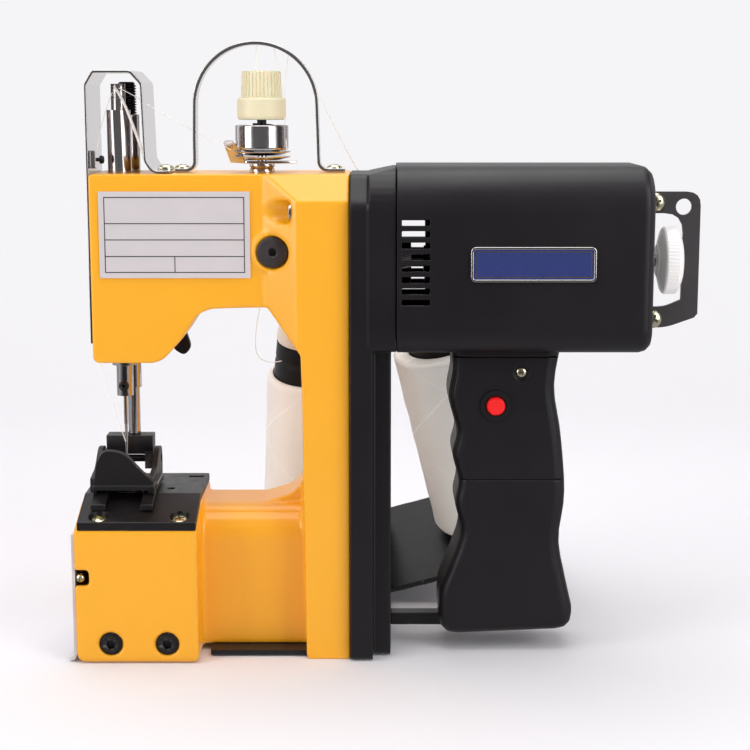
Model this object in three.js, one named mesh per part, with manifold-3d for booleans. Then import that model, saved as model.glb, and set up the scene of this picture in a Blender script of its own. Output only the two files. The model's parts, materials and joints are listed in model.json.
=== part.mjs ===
// Portable bag closing sewing machine: a C-shaped casting over a bed, an electric motor
// on the right with a pistol grip below it, and two thread cones on a bracket behind.
// Millimetres, +Z up, +X towards the motor, +Y towards the thread cones.
// Origin: on the resting plane, under the needle.
import * as THREE from 'three';
import { mergeVertices } from 'three/addons/utils/BufferGeometryUtils.js';
import Module from 'manifold-3d';

const wasm = await Module();
wasm.setup();

// ---------------------------------------------------------------- driving dimensions
const CLEAR = 0.3; // gap between neighbouring pieces

// casting
const ARM_TOP = 229;
const ARM_FRONT = -18;
const ARM_BACK = 26;
const HEAD_LEFT = -12.2;
const HEAD_BOTTOM = 140.8;
const ARM_UNDERSIDE = 166.5;
const COLUMN_LEFT = 86;
const COLUMN_RIGHT = 108.4;
const COLUMN_FRONT = -29;
const BED_LEFT = -20.5;
const BED_RIGHT = 37;
const BED_FRONT = -36;
const BED_BACK = 32;
const BED_TOP = 73;
const BED_NOSE_TOP = 64.7;
const PLATE_FOLD_Y = -11.6;
const PLATE_THICK = 4;
const PLATE_GAP = 0.02;
const PLATE_SCREW_X = [-9.3, 28.4];
const PLATE_SCREW_Y = -30.6;
const MID_FRONT = -15;
const MID_TOP = 70;
const WALL = 4;

// drive
const SHAFT_Z = 33;
const SHAFT_R = 5;
const ROD_X = 96;
const CRANK_THROW = 5;
const CRANK_PIN_R = 4;
const MOTOR_Z = 187.5;
const MOTOR_SHAFT_R = 3;
const BELT_PITCH = 2.032;
const WHEEL_TEETH = 84;
const PULLEY_TEETH = 16;
const BELT_X0 = 110.3;
const BELT_WIDTH = 6.35;
const BELT_THICK = 1.3;

// sewing head
const PIVOT_X = 72.5;
const PIVOT_Z = 193;
const PIVOT_R = 4;
const DRIVE_Z = 206; // height of the needle bar's driving pin at rest
const BAR_R = 4;
const BAR_TOP_R = 3.4;
const BAR_BOTTOM = 122.7;
const BAR_TOP = 270;
const NEEDLE_R = 1;
const NEEDLE_TIP = 88;
const PRESSER_X = 2;
const PRESSER_Y = 14;
const PRESSER_R = 3;
const LOOPER_Y = 8;
const LOOPER_Z = 42;
const LOOPER_R = 18;
const FOOT_PIVOT_Y = 12;
const FOOT_PIVOT_Z = 89;

// belt case, motor housing and grip
const CASE_RIGHT = 119;
const CASE_FRONT = 33;
const NECK_RIGHT = 130;
const NECK_FRONT = 25;
const HOUSING_LEFT = 130;
const HOUSING_RIGHT = 247.7;
const HOUSING_BOTTOM = 147;
const HOUSING_TOP = 233;
const HOUSING_HALF = 35;
const GRIP_HALF = 19;
const BUTTON_X = 176.7;
const BUTTON_Z = 121;

// thread tension set and thread cones
const TENSION_X = 67;
const CONE_R_BOTTOM = 27;
const CORE_LENGTH = 113;

// ---------------------------------------------------------------- materials
const finish = (color, roughness, metalness) => () =>
  new THREE.MeshStandardMaterial({ color, roughness, metalness });
const yellowPaint = finish(0xfbb12c, 0.45, 0.0);
const blackPlastic = finish(0x28242a, 0.6, 0.0);
const blackSteel = finish(0x2b282e, 0.45, 0.7);
const brightSteel = finish(0xc4c4c8, 0.25, 1.0);
const darkSteel = finish(0x77767a, 0.4, 1.0);
const bronze = finish(0x9a6b34, 0.4, 0.9);
const copper = finish(0xa85a32, 0.4, 0.8);
const ivoryPlastic = finish(0xf0e8cd, 0.5, 0.0);
const whitePlastic = finish(0xe9e7e4, 0.4, 0.0);
const redPlastic = finish(0xd8201c, 0.4, 0.0);
const blueEnamel = finish(0x00186e, 0.2, 0.3);
const platedSheet = finish(0xdfd8d9, 0.35, 0.6);
const rubber = finish(0x1c1c1c, 0.8, 0.0);
const thread = finish(0xe8e0d2, 0.9, 0.0);
const zinc = finish(0xcfc7a8, 0.3, 1.0);

// ---------------------------------------------------------------- shape helpers
const vec = (x, y, z) => new THREE.Vector3(x, y, z);

// Shape from corners [u, v] or [u, v, radius]; a radius rounds that corner.
function outline(corners) {
  const shape = new THREE.Shape();
  const count = corners.length;
  corners.forEach(([u, v, radius = 0], i) => {
    const corner = new THREE.Vector2(u, v);
    const before = new THREE.Vector2(...corners[(i + count - 1) % count]);
    const after = new THREE.Vector2(...corners[(i + 1) % count]);
    const start = corner.clone().add(before.sub(corner).setLength(radius));
    const end = corner.clone().add(after.sub(corner).setLength(radius));
    if (i === 0) shape.moveTo(start.x, start.y);
    else shape.lineTo(start.x, start.y);
    if (radius > 0) shape.quadraticCurveTo(u, v, end.x, end.y);
  });
  shape.closePath();
  return shape;
}

// Outline of a bent strip of even thickness along an open path of [u, v] points.
function strip(path, thickness) {
  const sides = [[], []];
  path.forEach(([u, v], i) => {
    const here = new THREE.Vector2(u, v);
    const dirs = [];
    if (i > 0) dirs.push(here.clone().sub(new THREE.Vector2(...path[i - 1])).normalize());
    if (i < path.length - 1) dirs.push(new THREE.Vector2(...path[i + 1]).sub(here).normalize());
    const normals = dirs.map((d) => new THREE.Vector2(-d.y, d.x));
    const mean = normals.reduce((sum, n) => sum.add(n), new THREE.Vector2()).normalize();
    const reach = thickness / 2 / mean.dot(new THREE.Vector2(-dirs[0].y, dirs[0].x));
    sides[0].push([u + mean.x * reach, v + mean.y * reach]);
    sides[1].unshift([u - mean.x * reach, v - mean.y * reach]);
  });
  return outline([...sides[0], ...sides[1]]);
}

// Points of an arc about [u, v], angles in degrees.
function arc(u, v, radius, from, to, steps) {
  return Array.from({ length: steps + 1 }, (_, i) => {
    const angle = THREE.MathUtils.degToRad(from + ((to - from) * i) / steps);
    return [u + radius * Math.cos(angle), v + radius * Math.sin(angle)];
  });
}

const asShape = (shape) => (Array.isArray(shape) ? outline(shape) : shape);

function extrude(shape, depth, { bevel = 0, steps = 3, segments = 4 } = {}) {
  const geometry = new THREE.ExtrudeGeometry(asShape(shape), {
    depth: depth - 2 * bevel,
    curveSegments: segments,
    bevelEnabled: bevel > 0,
    bevelSize: bevel,
    bevelThickness: bevel,
    bevelOffset: -bevel,
    bevelSegments: steps,
  });
  return geometry.translate(0, 0, bevel);
}

// Outline in X and Z, running from y0 to y1.
function alongY(shape, y0, y1, options) {
  return extrude(shape, y1 - y0, options).translate(0, 0, -y1).rotateX(Math.PI / 2);
}

// Outline in Y and Z, running from x0 to x1.
function alongX(shape, x0, x1, options) {
  const turn = new THREE.Matrix4().makeBasis(vec(0, 1, 0), vec(0, 0, 1), vec(1, 0, 0));
  return extrude(shape, x1 - x0, options).translate(0, 0, x0).applyMatrix4(turn);
}

// Outline in X and Y, running from z0 to z1.
function alongZ(shape, z0, z1, options) {
  return extrude(shape, z1 - z0, options).translate(0, 0, z0);
}

function box(x0, x1, y0, y1, z0, z1) {
  const geometry = new THREE.BoxGeometry(x1 - x0, y1 - y0, z1 - z0);
  return geometry.translate((x0 + x1) / 2, (y0 + y1) / 2, (z0 + z1) / 2);
}

// Turned piece: profile of [radius, height] pairs, axis given by name through (a, b).
function turned(profile, axis, a = 0, b = 0, sides = 16) {
  const points = profile.map(([r, h]) => new THREE.Vector2(r, h));
  const geometry = new THREE.LatheGeometry(points, sides);
  if (axis === 'x') return geometry.rotateZ(-Math.PI / 2).translate(0, a, b);
  if (axis === 'y') return geometry.translate(a, 0, b);
  return geometry.rotateX(Math.PI / 2).translate(a, b, 0);
}

function rod(radius, from, to, axis, a, b, sides = 16) {
  return turned([[0, from], [radius, from], [radius, to], [0, to]], axis, a, b, sides);
}

function ring(inner, outer, from, to, axis, a, b, sides = 16) {
  const profile = [[inner, from], [outer, from], [outer, to], [inner, to], [inner, from]];
  return turned(profile, axis, a, b, sides);
}

function solid(geometry) {
  const bare = geometry.clone();
  bare.deleteAttribute('normal');
  bare.deleteAttribute('uv');
  const merged = mergeVertices(bare, 1e-4);
  const mesh = new wasm.Mesh({
    numProp: 3,
    vertProperties: new Float32Array(merged.attributes.position.array),
    triVerts: new Uint32Array(merged.index.array),
  });
  return new wasm.Manifold(mesh);
}

function geometryOf(manifold) {
  const mesh = manifold.getMesh();
  const geometry = new THREE.BufferGeometry();
  geometry.setAttribute('position', new THREE.BufferAttribute(mesh.vertProperties, mesh.numProp));
  geometry.setIndex(new THREE.BufferAttribute(mesh.triVerts, 1));
  geometry.computeVertexNormals();
  return geometry;
}

const join = (...parts) => geometryOf(parts.map(solid).reduce((a, b) => a.add(b)));
const cut = (body, ...tools) => geometryOf(tools.map(solid).reduce((a, b) => a.subtract(b), solid(body)));
const common = (...parts) => geometryOf(parts.map(solid).reduce((a, b) => a.intersect(b)));

const machine = new THREE.Group();

function piece(name, geometry, material, group = machine) {
  const mesh = new THREE.Mesh(geometry, material());
  mesh.name = name;
  group.add(mesh);
  return mesh;
}

// ---------------------------------------------------------------- casting and covers
function mainCasting() {
  const armShape = [
    [HEAD_LEFT, ARM_TOP, 2], [HEAD_LEFT, HEAD_BOTTOM, 3], [19.5, HEAD_BOTTOM, 5], [30, 152.5],
    [37.3, 164, 3], [44, ARM_UNDERSIDE], [90, ARM_UNDERSIDE + 1], [90, ARM_TOP],
  ];
  const arm = alongY(armShape, ARM_FRONT, ARM_BACK);
  const columnPlan = [
    [68, ARM_FRONT], [84, COLUMN_FRONT], [COLUMN_RIGHT, COLUMN_FRONT],
    [COLUMN_RIGHT, ARM_BACK], [68, ARM_BACK],
  ];
  const throat = [
    [60, -1], [87.6, -1], [COLUMN_LEFT, 129], [COLUMN_LEFT - 0.4, 146], [69.5, 167.5], [60, 167.5],
  ];
  const column = cut(alongZ(columnPlan, 0, ARM_TOP), alongY(throat, -40, 40));
  const middleShape = [
    [BED_RIGHT - 2, 3], [90, 3], [90, 92], [87, 92], [85.5, 82, 4], [80, 74, 5], [66, MID_TOP],
    [BED_RIGHT - 2, MID_TOP],
  ];
  const middle = cut(
    alongY(middleShape, MID_FRONT, ARM_BACK),
    alongX([[-40, 56], [MID_FRONT, 56], ...arc(-1, 56, 14, 180, 90, 5), [-1, 120], [-40, 120]], 30, 85.5),
  );
  const bedProfile = [
    [BED_FRONT, 0, 4], [BED_BACK, 0, 4], [BED_BACK, BED_TOP], [PLATE_FOLD_Y, BED_TOP],
    [BED_FRONT, BED_NOSE_TOP],
  ];
  const bedFace = [[BED_LEFT, 0, 5], [BED_RIGHT, 0, 4], [BED_RIGHT, 80], [BED_LEFT, 80]];
  const bed = common(alongX(bedProfile, BED_LEFT, BED_RIGHT), alongY(bedFace, -50, 50));
  const pinBoss = rod(9.6, ARM_FRONT - 1.8, ARM_FRONT + 2, 'y', PIVOT_X, PIVOT_Z, 28);
  const body = join(arm, column, middle, bed, pinBoss);

  const armHollow = [
    [HEAD_LEFT + WALL, ARM_TOP - WALL], [HEAD_LEFT + WALL, 150], [18, 150], [33, 170.5], [72, 171.5],
    [90, 150], [90, 120], [COLUMN_RIGHT - WALL, 120], [COLUMN_RIGHT - WALL, ARM_TOP - WALL],
  ];
  const openings = [
    alongY(armHollow, ARM_FRONT + WALL, 40),
    box(90.2, COLUMN_RIGHT - WALL, -15, 40, 5, 130),
    box(41, 91, MID_FRONT + WALL, 40, 7, 54),
    box(BED_LEFT - 1, BED_RIGHT - WALL, BED_FRONT + WALL, BED_BACK - WALL, 5, 60),
    box(-14, 16, -9, 22, 50, BED_TOP + 1),
    alongX([[-31, 214.5], [-31, 232], [-16.2, 232]], 60, 112),
    box(BED_RIGHT + 4, COLUMN_RIGHT - WALL, -26, 26, -1, 3.3),
    rod(8, 30, 44, 'x', 0, SHAFT_Z),
    rod(13, 100, 112, 'x', 0, SHAFT_Z),
    rod(6.2, 138, 152, 'z', 0, 0),
    rod(6.2, 222, 232, 'z', 0, 0),
    rod(4.4, 138, 152, 'z', PRESSER_X, PRESSER_Y),
    rod(6, 222, 232, 'z', PRESSER_X, PRESSER_Y),
    rod(PIVOT_R + CLEAR, -30, -10, 'y', PIVOT_X, PIVOT_Z),
    rod(7.9, -40, ARM_FRONT, 'y', PIVOT_X, PIVOT_Z, 28),
    rod(5.4, 66, 81.5, 'x', -24, 212, 20),
    rod(3.3, 222, 232, 'z', TENSION_X, 0, 16),
    rod(4.2, 4, 40, 'y', 19, 156, 16),
    box(BED_LEFT - 1, BED_LEFT + 6.6, BED_FRONT - 1, BED_FRONT + WALL + 1, 37.8, 45.6),
  ];
  for (const x of [-4.4, 22.1]) openings.push(rod(5.9, BED_FRONT - 1, BED_FRONT + 2.5, 'y', x, 9.6, 20));
  return cut(body, ...openings);
}
piece('main_casting', mainCasting(), yellowPaint);

const backCoverShape = [
  [HEAD_LEFT + 0.6, ARM_TOP - 1, 4], [HEAD_LEFT + 0.6, 144, 4], [18.5, 144, 4], [38, 168, 3],
  [70.5, 169, 2], [COLUMN_LEFT + 1.5, 148, 3], [COLUMN_LEFT + 1.5, 78, 4], [81, MID_TOP - 2, 4],
  [40, MID_TOP - 2, 2], [40, 5, 2], [COLUMN_RIGHT - 1, 5, 2], [COLUMN_RIGHT - 1, ARM_TOP - 1, 3],
];
piece('arm_back_cover', cut(
  alongY(backCoverShape, ARM_BACK, ARM_BACK + 2),
  rod(4.2, 20, 40, 'y', 19, 156, 16),
), yellowPaint);
piece('bed_bottom_plate', box(BED_RIGHT + 4.5, COLUMN_RIGHT - WALL - 0.5, -25, 25, 0.8, 3.2), blackPlastic);
piece('bed_side_cover', join(
  box(-22.3, -20.9, -33, 29, 3.4, 62),
  alongY(strip([[-21.6, 4], [-22.6, 1.8], [-24.6, 1.4]], 1.4), -33, 29),
), platedSheet);
piece('rating_plate', box(-7.6, 62.2, ARM_FRONT - 0.9, ARM_FRONT, 181, 221), platedSheet);

// ---------------------------------------------------------------- belt case, motor, grip
function beltCase() {
  const tall = alongX([
    [-CASE_FRONT, 0, 5], [CASE_FRONT, 0, 5], [CASE_FRONT, 216, 3], [24, ARM_TOP, 3], [-20, ARM_TOP, 3],
    [-CASE_FRONT, 216, 3],
  ], COLUMN_RIGHT, CASE_RIGHT);
  const neck = alongX([
    [-NECK_FRONT, 0, 5], [NECK_FRONT, 0, 5], [NECK_FRONT, 160], [-NECK_FRONT, 160],
  ], CASE_RIGHT - 2, NECK_RIGHT - 2.5);
  const shoulder = common(
    alongX([
      [-33.5, 148, 4], [33.5, 148, 4], [33.5, 221, 7], [23, 232, 7], [-23, 232, 7], [-33.5, 221, 7],
    ], CASE_RIGHT - 2, NECK_RIGHT),
    alongY([
      [110, 140], [NECK_RIGHT, 140], [NECK_RIGHT, 232], [CASE_RIGHT - 2, ARM_TOP], [110, ARM_TOP],
    ], -50, 50),
  );
  return cut(
    join(tall, neck, shoulder),
    box(COLUMN_RIGHT - 1, CASE_RIGHT - 1, -30, 30, 4, 214),
    box(COLUMN_RIGHT - 1, 125, -NECK_FRONT + 3, NECK_FRONT - 3, 4, 214),
    rod(12, 120, 140, 'x', 0, MOTOR_Z),
  );
}
piece('belt_case', beltCase(), blackPlastic);

const housingShape = (inset) => [
  [-HOUSING_HALF + inset, HOUSING_BOTTOM + inset, 12 - inset],
  [HOUSING_HALF - inset, HOUSING_BOTTOM + inset, 12 - inset],
  [HOUSING_HALF - inset, HOUSING_TOP - inset, 20 - inset],
  [-HOUSING_HALF + inset, HOUSING_TOP - inset, 20 - inset],
];
function motorHousing() {
  const shell = common(
    alongX(housingShape(0), HOUSING_LEFT - 20, HOUSING_RIGHT, { bevel: 6, segments: 5 }),
    box(HOUSING_LEFT, 260, -60, 60, 100, 260),
  );
  const openings = [
    alongX(housingShape(3), HOUSING_LEFT - 1, HOUSING_RIGHT - 4, { segments: 3 }),
    rod(6, 200, 260, 'x', 0, MOTOR_Z),
    box(166, 200, -13, 13, 140, 152),
  ];
  for (let i = 0; i < 8; i += 1) {
    const z = 171.4 + i * 5.2;
    openings.push(box(132.2, 145, -40, 40, z - 1.45, z + 1.45));
  }
  const lugs = [[210.4, 219.6], [155.4, 164.6]].map(([low, high]) => box(242, 255.3, 1, 7, low, high));
  return join(cut(shell, ...openings), ...lugs);
}
piece('motor_housing', motorHousing(), blackPlastic);
piece('badge_plate', alongY([[163.5, 181, 2], [220.5, 181, 2], [220.5, 197, 2], [163.5, 197, 2]],
  -HOUSING_HALF - 1.6, -HOUSING_HALF), blueEnamel);

function gripBody() {
  const curve = (points) => new THREE.SplineCurve(points.map(([x, z]) => new THREE.Vector2(x, z)));
  const fingerSide = curve([
    [155.4, 149], [156.6, 138], [154.8, 124], [158.7, 108], [156.8, 97], [159.8, 84],
    [158.2, 73], [161, 59], [155.6, 42], [151.2, 30], [150.6, 20],
  ]);
  const palmSide = curve([
    [214.8, 22], [210.6, 40], [208, 56], [210.4, 78], [208, 107], [204.6, 129], [207.4, 149],
  ]);
  const shape = outline([
    [155, 170],
    ...fingerSide.getSpacedPoints(44).map((p) => [p.x, p.y]),
    [150.9, 8, 9], [215, 10.8, 8],
    ...palmSide.getSpacedPoints(20).map((p) => [p.x, p.y]),
    [208, 170],
  ]);
  const bar = alongY(shape, -GRIP_HALF, GRIP_HALF, { bevel: 5, steps: 3, segments: 3 });
  return cut(bar, box(100, 250, -50, 50, HOUSING_BOTTOM, 200));
}
const grip = gripBody();
const coverZone = (gap) => box(130, 230, -GRIP_HALF - 1, -GRIP_HALF + 4 - gap, 85 + gap, 144 - gap);
const crossbar = alongY([[127.5, 9], [153, 9], [153, 15], [127.5, 15]], -4, 4);
piece('handle_grip', cut(
  join(grip, crossbar),
  coverZone(0),
  box(166, 200, -13, 13, 20, 150),
  box(168, 184, -20, -12, 112, 131),
), blackPlastic);
piece('switch_cover', cut(
  common(grip, coverZone(0.2)),
  rod(4.8, -30, 0, 'y', BUTTON_X, BUTTON_Z, 20),
  rod(3.6, -30, -17.6, 'y', 188.7, 136.5, 16),
), blackPlastic);
piece('button_ring', ring(4.8, 7.2, -20.4, -GRIP_HALF, 'y', BUTTON_X, BUTTON_Z, 16), blackPlastic);
piece('trigger_button', turned([[0, -22.6], [3.6, -22.6], [4.4, -21.6], [4.4, -14.5], [2.5, -14.5],
  [2.5, -12.6], [0, -12.6]], 'y', BUTTON_X, BUTTON_Z, 16), redPlastic);
piece('power_switch', box(169, 184, -9, 8, 106, 134), blackPlastic);

// ---------------------------------------------------------------- motor
const pitchRadius = (teeth) => (teeth * BELT_PITCH) / (2 * Math.PI);
piece('motor_armature', turned([
  [0, 109.4], [MOTOR_SHAFT_R, 109.4], [MOTOR_SHAFT_R, 160], [16.5, 160], [16.5, 203], [7, 203], [7, 212],
  [10, 212], [10, 225], [MOTOR_SHAFT_R, 225], [MOTOR_SHAFT_R, 253], [0, 253],
], 'x', 0, MOTOR_Z), darkSteel);
piece('motor_stator', ring(17.3, 29, 161, 203, 'x', 0, MOTOR_Z, 20), copper);
piece('motor_bearing_front', ring(3.1, 11, 131, 137, 'x', 0, MOTOR_Z), brightSteel);
piece('motor_bearing_rear', ring(3.1, 9, 234, 240.8, 'x', 0, MOTOR_Z), brightSteel);
for (const [name, side] of [['carbon_brush_front', -1], ['carbon_brush_rear', 1]]) {
  const [near, far] = [side * 10.5, side * 24].sort((a, b) => a - b);
  piece(name, box(214, 222, near, far, MOTOR_Z - 3, MOTOR_Z + 3), bronze);
}

function coolingFan() {
  const hub = ring(3.1, 7, 143, 154, 'x', 0, MOTOR_Z, 20);
  const disc = ring(3.1, 24, 152, 154, 'x', 0, MOTOR_Z, 20);
  const blades = Array.from({ length: 9 }, (_, i) => {
    const blade = box(144, 153, -0.8, 0.8, 6, 23.5);
    return blade.rotateX((i * 2 * Math.PI) / 9).translate(0, 0, MOTOR_Z);
  });
  return join(hub, disc, ...blades);
}
piece('cooling_fan', coolingFan(), blackPlastic);
piece('hand_wheel', turned([
  [0, 253.3], [7.5, 253.3], [16, 256.3], [16, 262.2], [11.2, 264.8], [0, 264.8],
], 'x', 0, MOTOR_Z, 20), whitePlastic);
piece('motor_pulley', ring(
  3.1, pitchRadius(PULLEY_TEETH), BELT_X0 - 0.7, BELT_X0 + BELT_WIDTH + 0.7, 'x', 0, MOTOR_Z,
), darkSteel);

// ---------------------------------------------------------------- main shaft and belt
function beltLoop(extra) {
  const low = pitchRadius(WHEEL_TEETH) + extra;
  const high = pitchRadius(PULLEY_TEETH) + extra;
  const lean = THREE.MathUtils.radToDeg(Math.asin((low - high) / (MOTOR_Z - SHAFT_Z)));
  return outline([
    ...arc(0, SHAFT_Z, low, 180 - lean, 360 + lean, 20),
    ...arc(0, MOTOR_Z, high, lean, 180 - lean, 8),
  ]);
}
piece('timing_belt', cut(
  alongX(beltLoop(CLEAR + BELT_THICK), BELT_X0, BELT_X0 + BELT_WIDTH),
  alongX(beltLoop(CLEAR), BELT_X0 - 1, BELT_X0 + BELT_WIDTH + 1),
), rubber);
piece('belt_wheel', cut(
  rod(pitchRadius(WHEEL_TEETH), BELT_X0 - 0.5, BELT_X0 + BELT_WIDTH + 0.5, 'x', 0, SHAFT_Z, 28),
  rod(SHAFT_R + 0.05, 100, 130, 'x', 0, SHAFT_Z),
  ...[0, 1, 2, 3, 4].map((i) => {
    const angle = (i * 2 * Math.PI) / 5;
    return rod(5.5, 100, 130, 'x', 16 * Math.cos(angle), SHAFT_Z + 16 * Math.sin(angle), 8);
  }),
), darkSteel);

const CHEEK = 10.5;
piece('main_shaft', join(
  rod(SHAFT_R, 4, ROD_X - 4, 'x', 0, SHAFT_Z),
  rod(CHEEK, ROD_X - 5.4, ROD_X - 3.5, 'x', 0, SHAFT_Z),
  rod(CRANK_PIN_R, ROD_X - 4, ROD_X + 4, 'x', 0, SHAFT_Z + CRANK_THROW),
  rod(CHEEK, ROD_X + 3.5, ROD_X + 5.4, 'x', 0, SHAFT_Z),
  rod(SHAFT_R, ROD_X + 4, 123, 'x', 0, SHAFT_Z),
  rod(9, 23, 29, 'x', 0, SHAFT_Z + 2),
), darkSteel);
piece('shaft_bush_left', ring(SHAFT_R + 0.1, 7.7, 31, 43, 'x', 0, SHAFT_Z), bronze);
piece('shaft_bearing_right', ring(SHAFT_R + 0.1, 12.6, 102.2, 108.2, 'x', 0, SHAFT_Z, 20), brightSteel);

// ---------------------------------------------------------------- rocker, rod, needle bar
// At rest the needle bar stands near the top of its stroke, so the rocker leans up to the left.
const LEAN = Math.asin((DRIVE_Z - PIVOT_Z) / PIVOT_X);
const ROD_END = [ROD_X, PIVOT_Z - (ROD_X - PIVOT_X) * Math.tan(LEAN)];
function rockerArm() {
  const level = join(
    alongY([[-58, -4.5], [-8, -8, 3], [8, -8, 3], [28, -4.5, 3], [28, 4.5, 3], [8, 8, 3], [-8, 8, 3],
      [-58, 4.5]], -5, 5),
    box(-66, -56, -8.4, 8.4, -5, 5),
    box(-79, -60, 5.6, 8.4, -6, 6),
    box(-79, -60, -8.4, -5.6, -6, 6),
  );
  const fork = cut(
    level,
    box(-80, -67.5, -10, 10, -3.4, 3.4),
    rod(PIVOT_R + CLEAR, -20, 20, 'y', 0, 0, 20),
    rod(2.8, -20, 20, 'y', 23.8, 0, 16),
    box(16.5, 30, -3.4, 3.4, -10, 10),
  );
  return fork.rotateY(LEAN).translate(PIVOT_X, 0, PIVOT_Z);
}
piece('rocker_arm', rockerArm(), darkSteel);
piece('rocker_pivot_pin', turned([
  [0, -20.6], [5.6, -20.6], [7.3, -19.6], [7.3, -18.3], [PIVOT_R, -18.3], [PIVOT_R, 22], [0, 22],
], 'y', PIVOT_X, PIVOT_Z), blackSteel);

const WINDOW = { half: 9.5, low: 14.2, high: 43.4 };
piece('connecting_rod', cut(
  join(
    box(ROD_X - 2.9, ROD_X + 2.9, -13, 13, WINDOW.low - 4.4, WINDOW.high + 4.4),
    box(ROD_X - 2.9, ROD_X + 2.9, -3, 3, WINDOW.high, ROD_END[1] - 2),
    rod(6, -3, 3, 'y', ...ROD_END, 16),
  ),
  box(ROD_X - 6, ROD_X + 6, -WINDOW.half, WINDOW.half, WINDOW.low, WINDOW.high),
  rod(2.8, -10, 10, 'y', ...ROD_END, 16),
), darkSteel);
piece('rod_pin', rod(2.4, -6.5, 6.5, 'y', ...ROD_END, 16), brightSteel);

piece('needle_bar', cut(
  join(
    rod(BAR_R, BAR_BOTTOM, 210, 'z', 0, 0),
    rod(BAR_TOP_R, 209, BAR_TOP, 'z', 0, 0),
    rod(5.2, DRIVE_Z - 6, DRIVE_Z + 6, 'z', 0, 0),
    rod(3, -8.2, 8.2, 'y', 0, DRIVE_Z, 16),
  ),
  rod(1.3, BAR_BOTTOM - 5, BAR_BOTTOM + 12, 'z', 0, 0, 12),
  rod(1.7, -6, 0, 'y', 0, BAR_BOTTOM + 5, 12),
), brightSteel);
piece('needle', turned([
  [0, NEEDLE_TIP], [0.6, NEEDLE_TIP + 4], [0.8, 108], [NEEDLE_R, 109], [NEEDLE_R, 133], [0, 133],
], 'z', 0, 0, 12), brightSteel);
piece('needle_bar_bush_lower', ring(BAR_R + 0.1, 6, 137.6, 150, 'z', 0, 0), brightSteel);
piece('needle_bar_bush_upper', ring(BAR_TOP_R + 0.1, 5.6, 221, 258, 'z', 0, 0), brightSteel);

// ---------------------------------------------------------------- bed mechanism
const plateProfile = [
  [BED_FRONT, BED_NOSE_TOP + PLATE_GAP], [PLATE_FOLD_Y, BED_TOP + PLATE_GAP], [BED_BACK, BED_TOP + PLATE_GAP],
  [BED_BACK, BED_TOP + PLATE_THICK],
  [PLATE_FOLD_Y, BED_TOP + PLATE_THICK], [BED_FRONT, BED_NOSE_TOP + PLATE_THICK],
];
piece('needle_plate', cut(
  alongX(plateProfile, BED_LEFT + 1.7, BED_RIGHT - 0.4),
  box(-7.6, 7.6, -9.8, 13, 60, 90),
  rod(1.9, 60, 90, 'z', 21.2, -2, 12),
  box(27, 34.5, 22.6, 25.6, 60, 90),
  ...PLATE_SCREW_X.map((x) => rod(4.4, 60, 90, 'z', x, PLATE_SCREW_Y, 24)),
), blackSteel);
piece('feed_dog', join(
  box(-6.5, 6.5, 5.4, 10.6, 62, 66),
  ...[-4.4, 4.4].map((x) => {
    const teeth = [[-5.4, 65.5], [9.8, 65.5]];
    for (let y = 9.8; y > -5.3; y -= 1.9) teeth.push([y, 77.4], [y - 1.3, 76.4]);
    return alongX(teeth, x - 1.7, x + 1.7);
  }),
), darkSteel);
// The looper's blade is an arc about its own shaft, so its tip passes beside the needle.
piece('looper', join(
  rod(3.5, 1.6, 20, 'x', LOOPER_Y, LOOPER_Z),
  alongX([
    ...arc(LOOPER_Y, LOOPER_Z, LOOPER_R + 1, 48, 118, 6),
    arc(LOOPER_Y, LOOPER_Z, LOOPER_R + 0.6, 124, 130, 1)[0],
    ...arc(LOOPER_Y, LOOPER_Z, LOOPER_R - 1, 116, 66, 4), [LOOPER_Y + 1, LOOPER_Z], [LOOPER_Y + 4, LOOPER_Z],
  ], 1.6, 3.8),
), brightSteel);

piece('presser_bar', join(
  rod(PRESSER_R, 96, 140, 'z', PRESSER_X, PRESSER_Y),
  rod(BAR_R, 124.3, 214, 'z', PRESSER_X, PRESSER_Y),
  box(-11.2, 11.4, 9, 18.4, 91.6, 100.8),
  box(-11.2, -7.8, 8.6, 15.4, 84.4, 93),
  box(7.4, 11.2, 8.6, 15.4, 84.4, 93),
  rod(1.8, -13.8, 14.2, 'x', FOOT_PIVOT_Y, FOOT_PIVOT_Z, 14),
  box(1, 12, 12, 18, 155, 163),
), blackSteel);
function presserFoot() {
  const rise = 1.1; // sole above the needle plate
  const sole = BED_TOP + PLATE_THICK + rise;
  const slope = (BED_TOP - BED_NOSE_TOP) / (PLATE_FOLD_Y - BED_FRONT);
  const toe = (y) => sole + (y - PLATE_FOLD_Y) * slope;
  const soleShape = [
    [-28, toe(-28)], [PLATE_FOLD_Y, sole], [14, sole], [14, sole + 2.6], [PLATE_FOLD_Y - 0.5, sole + 2.6],
    [-28, toe(-28) + 2.6],
  ];
  const cheekShape = [
    [-20, 79], [15, 79], [16, 86, 3], [15, 95, 4], [6, 96, 3], [-6, 88, 3], [-20, 86],
  ];
  const fin = alongY([
    [-13.4, 81.5, 1], [15.6, 81.5, 1], [14.4, 86, 2], [10.5, 89, 4], [2, 99.6, 5], [-8, 100.6, 3],
    [-11.4, 94, 2],
  ], -1.4, 1.4).rotateX(THREE.MathUtils.degToRad(10)).translate(0, -4.3, 1.3);
  const body = join(
    alongX(soleShape, -13.6, -6.6),
    alongX(soleShape, 10, 15.8),
    box(-13.6, 15.8, -11, 14, sole, sole + 2.6),
    alongX(cheekShape, -14.8, -12.2),
    alongX(cheekShape, 12.6, 15.2),
    box(-13.4, 15.6, -21, -10, 80.4, 82.4),
    fin,
  );
  return cut(
    body,
    box(-3.4, 4, -6, 7, 70, 90),
    rod(2.1, -20, 30, 'x', FOOT_PIVOT_Y, FOOT_PIVOT_Z, 14),
  );
}
piece('presser_foot', presserFoot(), blackSteel);
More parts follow.
